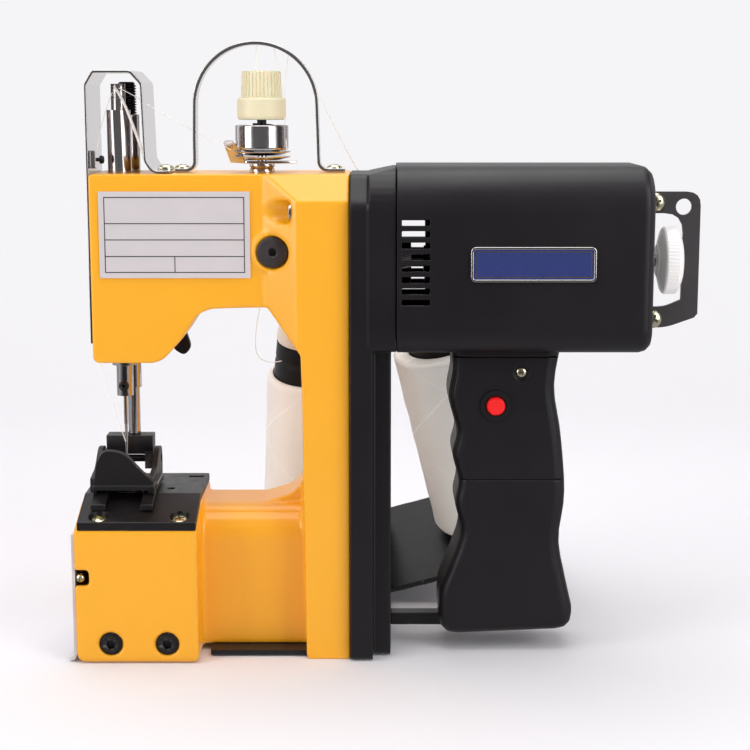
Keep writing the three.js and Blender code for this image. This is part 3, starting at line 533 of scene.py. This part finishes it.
def screw(name, origin, axis, radius, material, body="frame", drive="cross", *, height, replaces=(),
          spin=0.0):
    """Screw head standing on origin: domed with a cross or slot recess, or capped with a hex socket."""
    if drive == "hex":
        rim, neck = radius * 0.72, height * 0.6
        profile = [(0, 0), (radius, 0), (radius, neck * 0.75), (rim + 0.3, neck), (rim, height), (0, height)]
        profile = fillet(profile, 0.12)
        reach = radius * 0.42
        corners = [math.radians(60 * i) for i in range(6)]
        outlines = [[(reach * math.cos(a), reach * math.sin(a)) for a in corners]]
        deep = height * 0.1
    else:
        dome = [math.radians(90 * i / 8) for i in range(1, 9)]
        profile = [(0, 0), (radius, 0)]
        profile += [(radius * math.cos(a), height * (0.25 + 0.75 * math.sin(a))) for a in dome[:-1]]
        profile.append((0, height))
        arm, half = radius * 0.55, radius * 0.13
        outlines = [rectangle(-arm, arm, -half, half), rectangle(-half, half, -arm, arm)]
        outlines = outlines[:1] if drive == "slot" else outlines
        deep = height * 0.3
    cutters = [prism_mesh("recess", [outline], deep, height + 1) for outline in outlines]
    mesh = carve(turned_mesh(name, profile, 40), *cutters)
    place = axis_place(origin, axis) @ Matrix.Rotation(math.radians(spin), 4, "Z")
    return new_piece(name, mesh, material, body, replaces, place)


def thread_run(name, points, radius=0.2, ends=None):
    """A loose thread through points in mm, attached to the frame. With ends=(body_a, body_b) it is left
    unattached instead; the two bodies are not used.
    """
    curve = bpy.data.curves.new(name, "CURVE")
    curve.dimensions = "3D"
    curve.bevel_depth = mm(radius)
    curve.bevel_resolution = 2
    curve.resolution_u = 8
    spline = curve.splines.new("NURBS")
    spline.points.add(len(points) - 1)
    for slot, point in zip(spline.points, points):
        slot.co = (*mm(*point), 1)
    spline.use_endpoint_u = True
    spline.order_u = 3
    obj = bpy.data.objects.new(name, curve)
    bpy.context.scene.collection.objects.link(obj)
    piece = bpy.data.objects.new(name, applied(obj))
    bpy.context.scene.collection.objects.link(piece)
    paint(piece, "thread")
    if ends:
        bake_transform(piece)
    else:
        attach(piece, "frame")


# ---------------------------------------------------------------- CAD nodes that keep their shape
NODES = frame["nodes"]
CAST = {  # voxel size and smoothing steps of moulded, cast or pressed nodes
    "main_casting": (0.85, 7), "belt_case": (0.6, 4), "handle_grip": (0.5, 12), "needle_plate": (0.4, 3),
    "presser_foot": (0.3, 3), "presser_lifter": (0.35, 4), "rocker_arm": (0.5, 3),
    "connecting_rod": (0.5, 3), "spool_bracket": (0.5, 3), "switch_cover": (0.35, 3),
    "power_switch": (0.35, 3), "feed_dog": (0.2, 1), "looper": (0.25, 3), "cooling_fan": (0.5, 2),
}
SMALL_EDGE_MM = 0.12
EDGE_MM = {
    "motor_housing": 0.5, "arm_back_cover": 0.5, "bed_bottom_plate": 0.4, "hanger_bracket": 0.35,
    "bed_side_cover": 0.3,
}
STACKED = {  # look below, look above and the height between them
    "presser_bar": ("black_steel", "bright_steel", 101.5),
    "presser_adjuster": ("bright_steel", "black_steel", 256.2),
    "tension_post": ("bright_steel", "black_steel", 250.0),
}
OWN_LOOK = {"hanger_bracket": "grey_sheet", "rating_plate": "plated_sheet", "bed_side_cover": "plated_sheet"}
for node_name, node_obj in NODES.items():
    paint(node_obj, SLOT_OF[node_name])
    if node_name in CAST:
        cast_surface(node_obj, *CAST[node_name])
    else:
        round_edges(node_obj, EDGE_MM.get(node_name, SMALL_EDGE_MM))
for node_name, looks in STACKED.items():
    MATERIALS[node_name] = stacked(node_name, *looks)
    paint(NODES[node_name], node_name)
for node_name, look in OWN_LOOK.items():
    paint(NODES[node_name], look)

# ---------------------------------------------------------------- front of the arm
plate_low, plate_high = box_mm("rating_plate")
PLATE_FACE = front_place(plate_low.y)
LINE, INSET, PROUD = 0.45, 2.45, 0.04
RULE_SHARES = (0.35, 0.564, 0.783)  # of the border's height, from its top
left, right = plate_low.x + INSET, plate_high.x - INSET
bottom, top = plate_low.z + INSET, plate_high.z - INSET
rule_heights = [top - share * (top - bottom) for share in RULE_SHARES]
rules = [rectangle(left + LINE, right - LINE, z - LINE / 2, z + LINE / 2) for z in rule_heights]
half_way = (left + right) / 2
rules.append(rectangle(half_way - LINE / 2, half_way + LINE / 2, bottom + LINE, rule_heights[2] - LINE / 2))
border = (rectangle(left, right, bottom, top),
          rectangle(left + LINE, right - LINE, bottom + LINE, top - LINE))
new_piece("rating_plate_rules", prism_mesh("rating_plate_rules", rules, 0, PROUD), "ink", "frame",
          place=PLATE_FACE)
new_piece("rating_plate_border", frame_mesh("rating_plate_border", *border, 0, PROUD), "ink", "frame",
          place=PLATE_FACE)

pivot, pivot_back = middle_mm("rocker_pivot_pin"), box_mm("rocker_pivot_pin")[1].y
turned("rocker_pivot_pin_worn", [
    (0, 0), (4, 0), (4, 40.3), (7.3, 40.3), (7.3, 41.5), (6.9, 42.2), (6.2, 42.35), (2.3, 42.6), (1.9, 42.3),
    (1.9, 39), (0, 39),
], (pivot.x, pivot_back, pivot.z), FRONT, "blued_steel", "frame", replaces=("rocker_pivot_pin",), sides=72,
    round_mm=0.25)

# ---------------------------------------------------------------- motor end
badge_low, badge_high = box_mm("badge_plate")
BADGE_FACE = front_place(badge_high.y)
BADGE_CORNER, LEAST_CORNER = 2.2, 0.7
ENAMEL_TOP, RIM_TOP, RIM_WIDTH = 1.2, 1.6, 1.2


def badge_outline(inset):
    return rectangle(badge_low.x + inset, badge_high.x - inset, badge_low.z + inset, badge_high.z - inset,
                     max(BADGE_CORNER - inset, LEAST_CORNER))


new_piece("badge_enamel", prism_mesh("badge_enamel", [badge_outline(0.9)], 0, ENAMEL_TOP), "blue_enamel",
          "frame", place=BADGE_FACE, replaces=("badge_plate",))
new_piece("badge_rim", frame_mesh("badge_rim", badge_outline(0), badge_outline(RIM_WIDTH), 0, RIM_TOP),
          "chrome_rim", "frame", place=BADGE_FACE, bevel_mm=0.35)
new_piece("badge_line", frame_mesh("badge_line", badge_outline(2.1), badge_outline(2.4), 1.15, 1.24), "gilt",
          "frame", place=BADGE_FACE)


def fluted(depth_mm, count, low, high):
    """Ring change that waves the radius between two heights."""
    def change(radius, height, angle):
        wave = math.cos(angle * count) ** 2 if low < height < high else 0
        return radius - depth_mm * wave, height
    return change


turned("hand_wheel_moulded", [
    (0, 253.3), (7.4, 253.3), (7.9, 253.8), (15.2, 255.9), (16, 256.9), (16, 261.9), (15.4, 262.7),
    (11.6, 264.6), (10.8, 264.8), (0, 264.8),
], (0, 0, middle_mm("hand_wheel").z), RIGHT, "white_plastic", "motor_rotor", replaces=("hand_wheel",),
    sides=480, round_mm=0.5, change=fluted(0.22, 30, 257.0, 261.8))

for end in ("top", "bottom"):
    low, high = box_mm(f"hanger_screw_{end}")
    centre = (low + high) / 2
    screw(f"hanger_screw_{end}_head", (centre.x, high.y, centre.z), FRONT, (high.x - low.x) / 2 + 0.1, "zinc",
          replaces=(f"hanger_screw_{end}",), height=high.y - low.y, spin=20 if end == "top" else 65)

# ---------------------------------------------------------------- thread tension set
TENSION = middle_mm("tension_post")


def on_tension(name, profile, material, node, body="frame", sides=72, round_mm=0.25, change=None):
    """A ring on the tension post; its profile's heights are above the base."""
    turned(name, profile, (TENSION.x, TENSION.y, 0), UP, material, body, replaces=(node,), sides=sides,
           round_mm=round_mm, change=change, closed=True)


on_tension("tension_disc_lower_pressed", [
    (2.7, 234.9), (8.6, 234.9), (9.6, 235.1), (13.4, 236.1), (13.6, 236.6), (13.3, 236.6), (9.4, 235.6),
    (8.6, 235.5), (2.7, 235.5)], "bright_steel", "tension_disc_lower")
on_tension("tension_disc_upper_pressed", [
    (2.7, 237.0), (8.6, 237.0), (9.6, 237.2), (13.4, 238.4), (13.6, 239.0), (13.3, 239.0), (9.4, 237.7),
    (8.6, 237.6), (2.7, 237.6)], "bright_steel", "tension_disc_upper")
on_tension("tension_cup_pressed", [
    (2.7, 238.1), (8.2, 238.1), (8.7, 239.3), (11.4, 239.3), (12.2, 239.6), (12.5, 240.6), (12.5, 250.6),
    (12.2, 251), (11.8, 250.6), (11.7, 241), (11.3, 240.1), (2.7, 240.1)], "bright_steel", "tension_cup")


def coil(name, radius, wire, turns, low, high):
    """A closed round-wire helix about local Z with plain ends."""
    steps, sides = 28, 10  # points to a turn, and round the wire
    bm = bmesh.new()
    count = int(turns * steps)
    rings = []
    for i in range(count + 1):
        a = 2 * math.pi * i / steps
        z = low + (high - low) * i / count
        ring = []
        for j in range(sides):
            b = 2 * math.pi * j / sides
            r = radius + wire * math.cos(b)
            ring.append(bm.verts.new(mm(r * math.cos(a), r * math.sin(a), z + wire * math.sin(b))))
        rings.append(ring)
    for here, there in zip(rings, rings[1:]):
        for j in range(sides):
            k = (j + 1) % sides
            bm.faces.new((here[j], here[k], there[k], there[j]))
    bm.faces.new(rings[0])
    bm.faces.new(rings[-1])
    return mesh_from(name, bm)


new_piece("tension_spring_wire", coil("tension_spring_wire", 5.2, 0.75, 5.4, 241.0, 251.15), "black_steel",
          "frame", replaces=("tension_spring",), place=Matrix.Translation(mm(TENSION.x, TENSION.y, 0)))


def knob_flutes(radius, height, angle):
    """Narrow grooves round the upper, gripped part of the knob."""
    grip = radius > 8.7 and 263.9 < height < 275.6
    return radius - (0.5 * max(0.0, math.cos(angle * 32)) ** 2 if grip else 0.0), height


on_tension("tension_knob_moulded", [
    (0.01, 263.6), (0.01, 275.4), (8.2, 275.4), (8.8, 275.9), (9.1, 275.3), (9.2, 273), (9.5, 264),
    (9.5, 263.5), (11.1, 263.3), (11.35, 262.6), (11.35, 255), (11.0, 253.8), (10.4, 253.5), (5.1, 253.5),
    (4.9, 254.2), (4.9, 263.6)],
    "ivory_plastic", "tension_knob", "tension_knob", sides=384, round_mm=0.2, change=knob_flutes)

# ---------------------------------------------------------------- bent strips over the arm
def rounded_path(points):
    """Open path whose inner points (x, z, radius) are rounded."""
    path = [Vector(points[0][:2])]
    for before, here, after in zip(points, points[1:], points[2:]):
        corner, radius = Vector(here[:2]), here[2]
        back, ahead = (Vector(before[:2]) - corner), (Vector(after[:2]) - corner)
        half = back.angle(ahead) / 2
        reach = min(radius / math.tan(half), back.length * 0.5, ahead.length * 0.5)
        start, end = corner + back.normalized() * reach, corner + ahead.normalized() * reach
        path += corner_curve(start, corner, end, 8)
    path.append(Vector(points[-1][:2]))
    return path


def bent_strip(name, node, path, thick):
    """A flat strip bent along a path in X and Z, as deep in Y as the CAD node it replaces."""
    low, high = box_mm(node)
    sides = []
    for i, here in enumerate(path):
        run = (path[min(i + 1, len(path) - 1)] - path[max(i - 1, 0)]).normalized()
        normal = Vector((-run.y, run.x)) * thick / 2
        sides.append((here + normal, here - normal))
    outline = [tuple(a) for a, _ in sides] + [tuple(b) for _, b in reversed(sides)]
    mesh = prism_mesh(name, [outline], -high.y, -low.y)
    new_piece(name, mesh, "bright_steel", "frame", replaces=(node,), place=front_place(0), bevel_mm=0.25)


guard_low, guard_high = box_mm("needle_bar_guard")
GUARD_STRIP, HOOP_STRIP = 1.1, 1.6
left_x, roof_z = guard_low.x + 0.6 + GUARD_STRIP / 2, guard_high.z - GUARD_STRIP / 2
bent_strip("needle_bar_guard_bent", "needle_bar_guard", rounded_path([
    (left_x, guard_low.z), (left_x, 269.6, 2.5), (-9.0, roof_z, 2.5), (8.0, roof_z, 2.5),
    (13.0, 270.0, 3), (14.1, 235, 6), (17.4, 229.7, 5), (guard_high.x, 229.9)]), GUARD_STRIP)
hoop_low, hoop_high = box_mm("thread_hoop")
HOOP_X, HOOP_R = 64.5, 28.4
crown_z = hoop_high.z - HOOP_STRIP / 2 - HOOP_R
bow = [(HOOP_X - HOOP_R * math.cos(math.radians(a)), crown_z + HOOP_R * math.sin(math.radians(a)))
       for a in range(0, 181, 5)]
legs = [rounded_path([(hoop_low.x, 230.1), (35.8, 230.1, 5), (35.8, 245, 6), bow[0]]),
        rounded_path([bow[-1], (93.4, 245, 6), (93.8, 230.1, 5), (hoop_high.x, 230.1)])]
hoop_path = [*legs[0][:-1], *[Vector(p) for p in bow], *legs[1][1:]]
bent_strip("thread_hoop_bent", "thread_hoop", hoop_path, HOOP_STRIP)


def slab_mesh(name, corners, thick):
    """A flat slab whose first side has the given corners, in mm."""
    points = [Vector(corner) for corner in corners]
    away = (points[1] - points[0]).cross(points[2] - points[1]).normalized() * thick
    bm = bmesh.new()
    sides = [[bm.verts.new(mm(*(point + offset))) for point in points] for offset in (Vector(), away)]
    for side in sides:
        bm.faces.new(side)
    for i in range(len(points)):
        j = (i + 1) % len(points)
        bm.faces.new((sides[0][i], sides[0][j], sides[1][j], sides[1][i]))
    return mesh_from(name, bm)


# The guide plate under the discs has one corner bent up as a wing.
GUIDE_LOW, GUIDE_TOP = 233.3, 234.5
FOLD = (51.6, 5.6), (59.4, -6.0)
new_piece("tension_guide_flat", prism_mesh("tension_guide_flat", [[
    FOLD[0], FOLD[1], (61.5, -7), (76, -7), (83.4, -3.5), (83.4, 3.5), (76, 7), (54, 7),
]], GUIDE_LOW, GUIDE_TOP), "bright_steel", "frame", replaces=("tension_guide_plate",), bevel_mm=0.3)
new_piece("tension_guide_wing", slab_mesh("tension_guide_wing", [
    (*FOLD[0], GUIDE_LOW), (*FOLD[1], GUIDE_LOW), (54.9, -5.4, 242.6), (53.6, -4.2, 243.6),
    (49.4, 2.2, 243.6), (48.4, 3.2, 242.6),
], -1.1), "bright_steel", "frame", bevel_mm=0.25)

# ---------------------------------------------------------------- needle and presser bars
adjuster = middle_mm("presser_adjuster")
low_z, high_z = (corner.z for corner in box_mm("presser_adjuster"))
ADJUSTER_COLLAR = 256.0
THREAD_ROOT, THREAD_CREST, THREAD_PITCH = 3.9, 4.6, 1.25


def thread_profile(root, crest, low, high, pitch):
    """Outline points of a screw thread cut as rings."""
    points = []
    for i in range(int((high - low) / pitch)):
        z = low + i * pitch
        points += [(root, z + 0.1 * pitch), (crest, z + 0.4 * pitch), (crest, z + 0.6 * pitch),
                   (root, z + 0.9 * pitch)]
    return points


turned("presser_adjuster_threaded", [
    (0, low_z), (5.8, low_z), (5.8, ADJUSTER_COLLAR - 0.5), (5.3, ADJUSTER_COLLAR),
    (THREAD_CREST, ADJUSTER_COLLAR),
    *thread_profile(THREAD_ROOT, THREAD_CREST, ADJUSTER_COLLAR, high_z - 0.6, THREAD_PITCH),
    (THREAD_ROOT, high_z - 0.6), (3.2, high_z), (0, high_z),
], (adjuster.x, adjuster.y, 0), UP, "presser_adjuster", "frame", replaces=("presser_adjuster",), sides=56,
    round_mm=0)
screw("needle_set_screw", (0, -3.6, 127.7), FRONT, 2.5, "black_steel", "needle_bar", "hex", height=1.9,
      spin=30)

# The clip holds the guard's left side between a screw outside and a bolt inside.
CLIP_Y, CLIP_Z = -8, 235.2
clip_left, clip_right = guard_low.x + 1.7, guard_low.x + 4.1
clip_outline = rectangle(clip_left, clip_right, 231.1, 239.5, 0.5)
new_piece("guard_clip", prism_mesh("guard_clip", [clip_outline], 6, 10.5), "bright_steel", "frame",
          place=front_place(0), bevel_mm=0.3)
turned("guard_clip_bolt", [
    (0, clip_right), (0.9, clip_right), (0.9, guard_low.x + 5.5), (1.9, guard_low.x + 5.7),
    (1.9, guard_low.x + 7.1), (1.3, guard_low.x + 7.7), (0, guard_low.x + 7.7),
], (0, CLIP_Y, CLIP_Z), RIGHT, "black_steel", "frame", sides=32, round_mm=0.3)
screw("guard_clip_screw", (guard_low.x + 0.6, CLIP_Y, CLIP_Z), LEFT, 2.4, "zinc", drive="slot", height=1.1,
      spin=80)

# ---------------------------------------------------------------- screws on the castings
ARM_TOP = 230.5
PLATE_SCREW_SINK = 2.9
for i, x in enumerate((21.8, 29.6, 101.0)):
    screw(f"arm_top_screw_{i + 1}", (x, 0, ARM_TOP), UP, 3.7, "zinc", height=2.3, spin=20 + 50 * i)
plate_nose, plate_fold = Vector((-36, 68.7)), Vector((-11.6, 77.0))  # (y, z) ends of the plate's front slope
SLOPE = (plate_fold - plate_nose).normalized()
PLATE_NORMAL = Vector((0, -SLOPE.y, SLOPE.x))
for i, x in enumerate((-9.3, 28.4)):
    screw(f"needle_plate_screw_{i + 1}", Vector((x, -30.6, 70.5)) - PLATE_SCREW_SINK * PLATE_NORMAL,
          PLATE_NORMAL, 4.2, "zinc", height=2.0, spin=35 + 70 * i)
for i, x in enumerate((-4.4, 22.1)):
    screw(f"bed_cap_screw_{i + 1}", (x, -33.5, 9.6), FRONT, 5.6, "black_steel", drive="hex", height=2.6,
          spin=15)
screw("bed_notch_screw", (-18.4, -31, 40.8), FRONT, 2.3, "zinc", drive="slot", height=2.4, spin=60)
screw("facet_screw", (81.5, -24, 212), LEFT, 4.2, "bright_steel", drive="slot", height=1.8, spin=100)
screw("switch_cover_screw", (188.7, -17.6, 136.5), FRONT, 2.4, "zinc", height=1.2, spin=30)
BACK_Y = box_mm("arm_back_cover")[1].y
for i, (x, z) in enumerate(((0, 150), (0, 220), (60, 222), (100, 222), (100, 15), (50, 15))):
    screw(f"back_cover_screw_{i + 1}", (x, BACK_Y, z), BACK, 3.2, "zinc", height=1.9, spin=25 * i)

# ---------------------------------------------------------------- thread cones and loose thread
# Heights here are above the foot of a spool, along its own axis.
CONE_FOOT, CONE_EDGE, CONE_TOP_GAP = 3.0, 3.0, 2.0
CORE_BORE, CORE_LENGTH = 4.6, 113.0


def spool(side, foot_radius, top_radius, yarn_top, seat_radius):
    spin = joint(f"spool_{side}_spin")
    origin = [v * 1000 for v in spin["pos_m"]]
    axis, body = spin["axis"], f"spool_{side}"
    turned(f"spool_core_{side}_moulded", [
        (CORE_BORE, 0.4), (24.5, 0.4), (24.5, 1.6), (22.5, 1.7), (19.2, 94), (18.4, 101.4), (18.0, 101.9),
        (17.6, 103.0), (17.8, 104.0), (18.0, 104.6), (17.2, CORE_LENGTH - 0.6), (16.4, CORE_LENGTH),
        (CORE_BORE, CORE_LENGTH)], origin, axis, "black_plastic", body, replaces=(f"spool_core_{side}",),
        sides=96, round_mm=0.3, closed=True)
    turned(f"spool_cap_{side}", [
        (0, CORE_LENGTH), (17, CORE_LENGTH), (17.3, 114.4), (16.9, 117), (15.8, 121.8), (13.4, 124.6),
        (12, 127), (0, 129)], origin, axis, "cream_plastic", body, sides=80, round_mm=0.8)

    def winding(radius, height, angle):
        """Low ridges, crossing like the thread, on the outside of the cone."""
        share = (height - CONE_FOOT) / (yarn_top - CONE_FOOT)
        ridge = math.sin(2 * math.pi * height / 19.0 + 2 * angle) * 0.08
        ridge += math.sin(2 * math.pi * height / 27.0 - 2 * angle + 1) * 0.08
        return radius + (ridge if 0.02 < share < 0.97 and radius > 21 else 0.0), height

    steps = 90
    outside = []
    for i in range(steps + 1):
        t = i / steps
        z = CONE_FOOT + CONE_EDGE + (yarn_top - CONE_TOP_GAP - CONE_FOOT - CONE_EDGE) * t
        outside.append((foot_radius + (top_radius - foot_radius) * t, z))
    profile = [
        (23.4, CONE_FOOT), (foot_radius - 2, CONE_FOOT), (foot_radius - 0.7, CONE_FOOT + 0.8), *outside,
        (top_radius - 0.5, yarn_top - 0.9), (top_radius - 1.5, yarn_top - 0.1), (seat_radius, yarn_top),
        (seat_radius + 0.5, yarn_top - 8)]
    turned(f"thread_cone_{side}_wound", profile, origin, axis, "thread", body,
           replaces=(f"thread_cone_{side}",), sides=128, round_mm=0, change=winding, closed=True)


spool("left", 27, 22.7, 94, 19.9)
spool("right", 27, 26, 109, 18.5)

thread_run("thread_take_up_front", [(52.5, -1.5, 239.5), (20, -1, 256), (8, -3.6, 265), (1, -4.2, 268)],
           ends=("frame", "needle_bar"))
thread_run("thread_take_up_down", [(-10, -6, 238.4), (-6.8, -4.5, 255), (-2, -4.2, 266)],
           ends=("frame", "needle_bar"))
thread_run("thread_take_up_bundle", [(13, -4, 234), (8, -6, 250), (2, -5, 265), (-1, -4, 268.4)], radius=0.7,
           ends=("frame", "needle_bar"))
thread_run("thread_to_needle", [(-13.9, -5, 149), (-8, -4.4, 128), (-3.6, -3.4, 112), (-0.3, -1.2, 100)],
           ends=("frame", "needle_bar"))
thread_run("thread_behind_arm", [(64, 30, 166), (57.3, 45, 138.8), (64, 55, 128.3), (72, 58, 130)])
thread_run("thread_supply", [(87, 4, 279.5), (109, 22, 231), (118, 36, 222), (140, 62, 165), (146, 68, 157)])
thread_run("thread_hoop_drop", [(65, -2, 288), (64.9, -2, 283), (64.8, -2, 276.6)])
thread_run("thread_hoop_left", [(73, 0, 286), (77.3, 0, 268), (78, -3, 251.5), (79, -6, 237.5)])
thread_run("thread_hoop_right", [(79.6, 0, 283), (78.1, 0, 273), (78, 0, 251), (78, 0, 238)])


# ---------------------------------------------------------------- stage, lights, camera (in metres)
STAGE_MIDDLE = (0.12, 0.05, 0.1)
HAZE = (0.918, 0.908, 0.925, 1)
PAPER_DARK, PAPER_PALE = (0.77, 0.755, 0.78, 1), (0.8, 0.785, 0.81, 1)
# Reflected paper: its grey, where its dark front and bright back begin, and how wide both are.
REFLECTED_GREY, FRONT_DROP, BACK_RISE = 0.4, 0.38, 0.42
FRONT_FADE, BACK_FADE, SIDE_FADE = (-0.45, -0.5), (0.3, 0.8), (0.75, 0.45)
HAZE_FADE = (0.45, 1.05)  # distance from STAGE_MIDDLE where the paper turns into haze
DIFFUSE_STRENGTH = 0.36
# Reflected sky, from front (0) to back (1): a dim operator's side, a bright ring, dark sides, a grey back.
SKY_STOPS = ((0.0, 0.14), (0.09, 0.1), (0.16, 0.75), (0.3, 0.75), (0.37, 0.05), (0.62, 0.08), (0.72, 0.45))
LIGHTS = (  # name, place, size, power in watts
    ("key_light", (-1.1, -0.7, 0.6), (0.7, 1.2), 9.5),
    ("fill_light", (1.1, -0.9, 0.6), (0.7, 1.2), 8.5),
    ("top_light", (0.1, 0.05, 1.35), (1.4, 1.0), 14),
    ("back_light_left", (-1.1, 0.6, 0.5), (0.6, 0.9), 1.5),
    ("back_light_right", (1.4, 0.6, 0.5), (0.6, 0.9), 2),
)
SENSOR_MM, LENS_MM = 36, 80
CAMERA_AIM, CAMERA_PITCH, CAMERA_DISTANCE = mm(120, 0, 132.3), math.radians(9.5), 0.8


def cyclorama_mesh():
    """A floor that curves up into a wall."""
    half, front, seam, back, top, radius = 3.2, -2.6, -0.45, 1.3, 3.2, 0.7
    profile = [(front, 0.0), (seam, 0.0), (back - radius, 0.0)]
    for i in range(1, 17):
        a = math.radians(90 * i / 16)
        profile.append((back - radius + radius * math.sin(a), radius - radius * math.cos(a)))
    profile.append((back, top))
    verts = [(x, y, z) for y, z in profile for x in (-half, half)]
    faces = [(2 * i, 2 * i + 1, 2 * i + 3, 2 * i + 2) for i in range(len(profile) - 1)]
    mesh = bpy.data.meshes.new("studio_floor")
    mesh.from_pydata(verts, [], faces)
    mesh.update()
    for polygon in mesh.polygons:
        polygon.use_smooth = True
    return mesh


def studio_paper():
    """Pale paper that fades into haze far away, with its own greys for reflections."""
    g = Graph("studio_paper")
    coords = g.coords()
    tone = g.mix(g.noise(coords, 900.0, detail=1.0), PAPER_DARK, PAPER_PALE)
    paper = g.node("ShaderNodeBsdfPrincipled", {
        "Base Color": tone, "Roughness": 0.9, "Specular IOR Level": 0.1})
    spot = g.node("ShaderNodeVectorMath", {0: coords, 1: STAGE_MIDDLE}, operation="SUBTRACT").outputs[0]
    across, depth, _ = g.node("ShaderNodeSeparateXYZ", {0: spot}).outputs
    near = g.ramp(depth, *FRONT_FADE)
    narrow = g.ramp(g.math("ABSOLUTE", across), *SIDE_FADE)
    drop = g.math("MULTIPLY", g.math("MULTIPLY", near, narrow), FRONT_DROP)
    grey = g.math("SUBTRACT", REFLECTED_GREY, drop)
    behind = g.math("MULTIPLY", g.ramp(depth, *BACK_FADE), narrow)
    grey = g.math("ADD", grey, g.math("MULTIPLY", behind, BACK_RISE))
    reflected = g.node("ShaderNodeEmission", {"Color": (1.0, 0.99, 1.0, 1), "Strength": grey})
    path = g.node("ShaderNodeLightPath")
    mixed = g.node("ShaderNodeMixShader", {
        0: path.outputs["Is Glossy Ray"], 1: paper.outputs[0], 2: reflected.outputs[0]})
    reach = g.node("ShaderNodeVectorMath", {0: spot}, operation="LENGTH").outputs["Value"]
    far = g.math("MULTIPLY", g.ramp(reach, *HAZE_FADE), path.outputs["Is Camera Ray"])
    haze = g.node("ShaderNodeEmission", {"Color": HAZE, "Strength": 1.0})
    mixed = g.node("ShaderNodeMixShader", {0: far, 1: mixed.outputs[0], 2: haze.outputs[0]})
    return g.finish(mixed.outputs[0])


def cyclorama():
    obj = bpy.data.objects.new("studio_floor", cyclorama_mesh())
    bpy.context.scene.collection.objects.link(obj)
    obj.data.materials.append(studio_paper())


def studio_world():
    """Haze for the camera, an even light for diffuse rays and SKY_STOPS for reflections."""
    world = bpy.data.worlds.new("studio")
    world.use_nodes = True
    tree = world.node_tree
    background = tree.nodes["Background"]
    direction = tree.nodes.new("ShaderNodeTexCoord")
    split = tree.nodes.new("ShaderNodeSeparateXYZ")
    share = tree.nodes.new("ShaderNodeMapRange")
    share.inputs["From Min"].default_value = -1.0
    sky = tree.nodes.new("ShaderNodeValToRGB")
    path = tree.nodes.new("ShaderNodeLightPath")
    unseen = tree.nodes.new("ShaderNodeMix")
    tree.links.new(direction.outputs["Generated"], split.inputs[0])
    tree.links.new(split.outputs[1], share.inputs[0])
    tree.links.new(share.outputs[0], sky.inputs[0])
    sky.color_ramp.elements.remove(sky.color_ramp.elements[1])
    for i, (position, grey) in enumerate(SKY_STOPS):
        stop = sky.color_ramp.elements.new(position) if i else sky.color_ramp.elements[0]
        stop.color = (grey, grey, grey, 1)
    tree.links.new(path.outputs["Is Glossy Ray"], unseen.inputs[0])
    unseen.inputs[2].default_value = DIFFUSE_STRENGTH
    tree.links.new(sky.outputs[0], unseen.inputs[3])
    color = tree.nodes.new("ShaderNodeMix")
    color.data_type = "RGBA"
    color.inputs[6].default_value = (1.0, 0.99, 1.0, 1)
    color.inputs[7].default_value = HAZE
    tree.links.new(path.outputs["Is Camera Ray"], color.inputs[0])
    tree.links.new(color.outputs[2], background.inputs["Color"])
    strength = tree.nodes.new("ShaderNodeMix")
    strength.inputs[3].default_value = 1.0
    tree.links.new(path.outputs["Is Camera Ray"], strength.inputs[0])
    tree.links.new(unseen.outputs[0], strength.inputs[2])
    tree.links.new(strength.outputs[0], background.inputs["Strength"])
    bpy.context.scene.world = world
    bpy.context.scene.view_settings.view_transform = "Standard"


def area_light(name, place, size, power):
    """A rectangular light turned to the middle of the CAD box."""
    light = bpy.data.lights.new(name, "AREA")
    light.shape = "RECTANGLE"
    light.size, light.size_y = size
    light.energy = power
    obj = bpy.data.objects.new(name, light)
    obj.location = place
    middle = (Vector(CAD_BOX[0]) + Vector(CAD_BOX[1])) / 2
    obj.rotation_euler = (middle - Vector(place)).to_track_quat("-Z", "Y").to_euler()
    bpy.context.scene.collection.objects.link(obj)


def camera():
    data = bpy.data.cameras.new("camera")
    data.sensor_width = SENSOR_MM
    data.lens = LENS_MM
    obj = bpy.data.objects.new("camera", data)
    back = Vector((0, -math.cos(CAMERA_PITCH), math.sin(CAMERA_PITCH)))
    obj.location = CAMERA_AIM + back * CAMERA_DISTANCE
    obj.rotation_euler = (CAMERA_AIM - obj.location).to_track_quat("-Z", "Y").to_euler()
    bpy.context.scene.collection.objects.link(obj)
    bpy.context.scene.camera = obj


cyclorama()
studio_world()
for row in LIGHTS:
    area_light(*row)
camera()
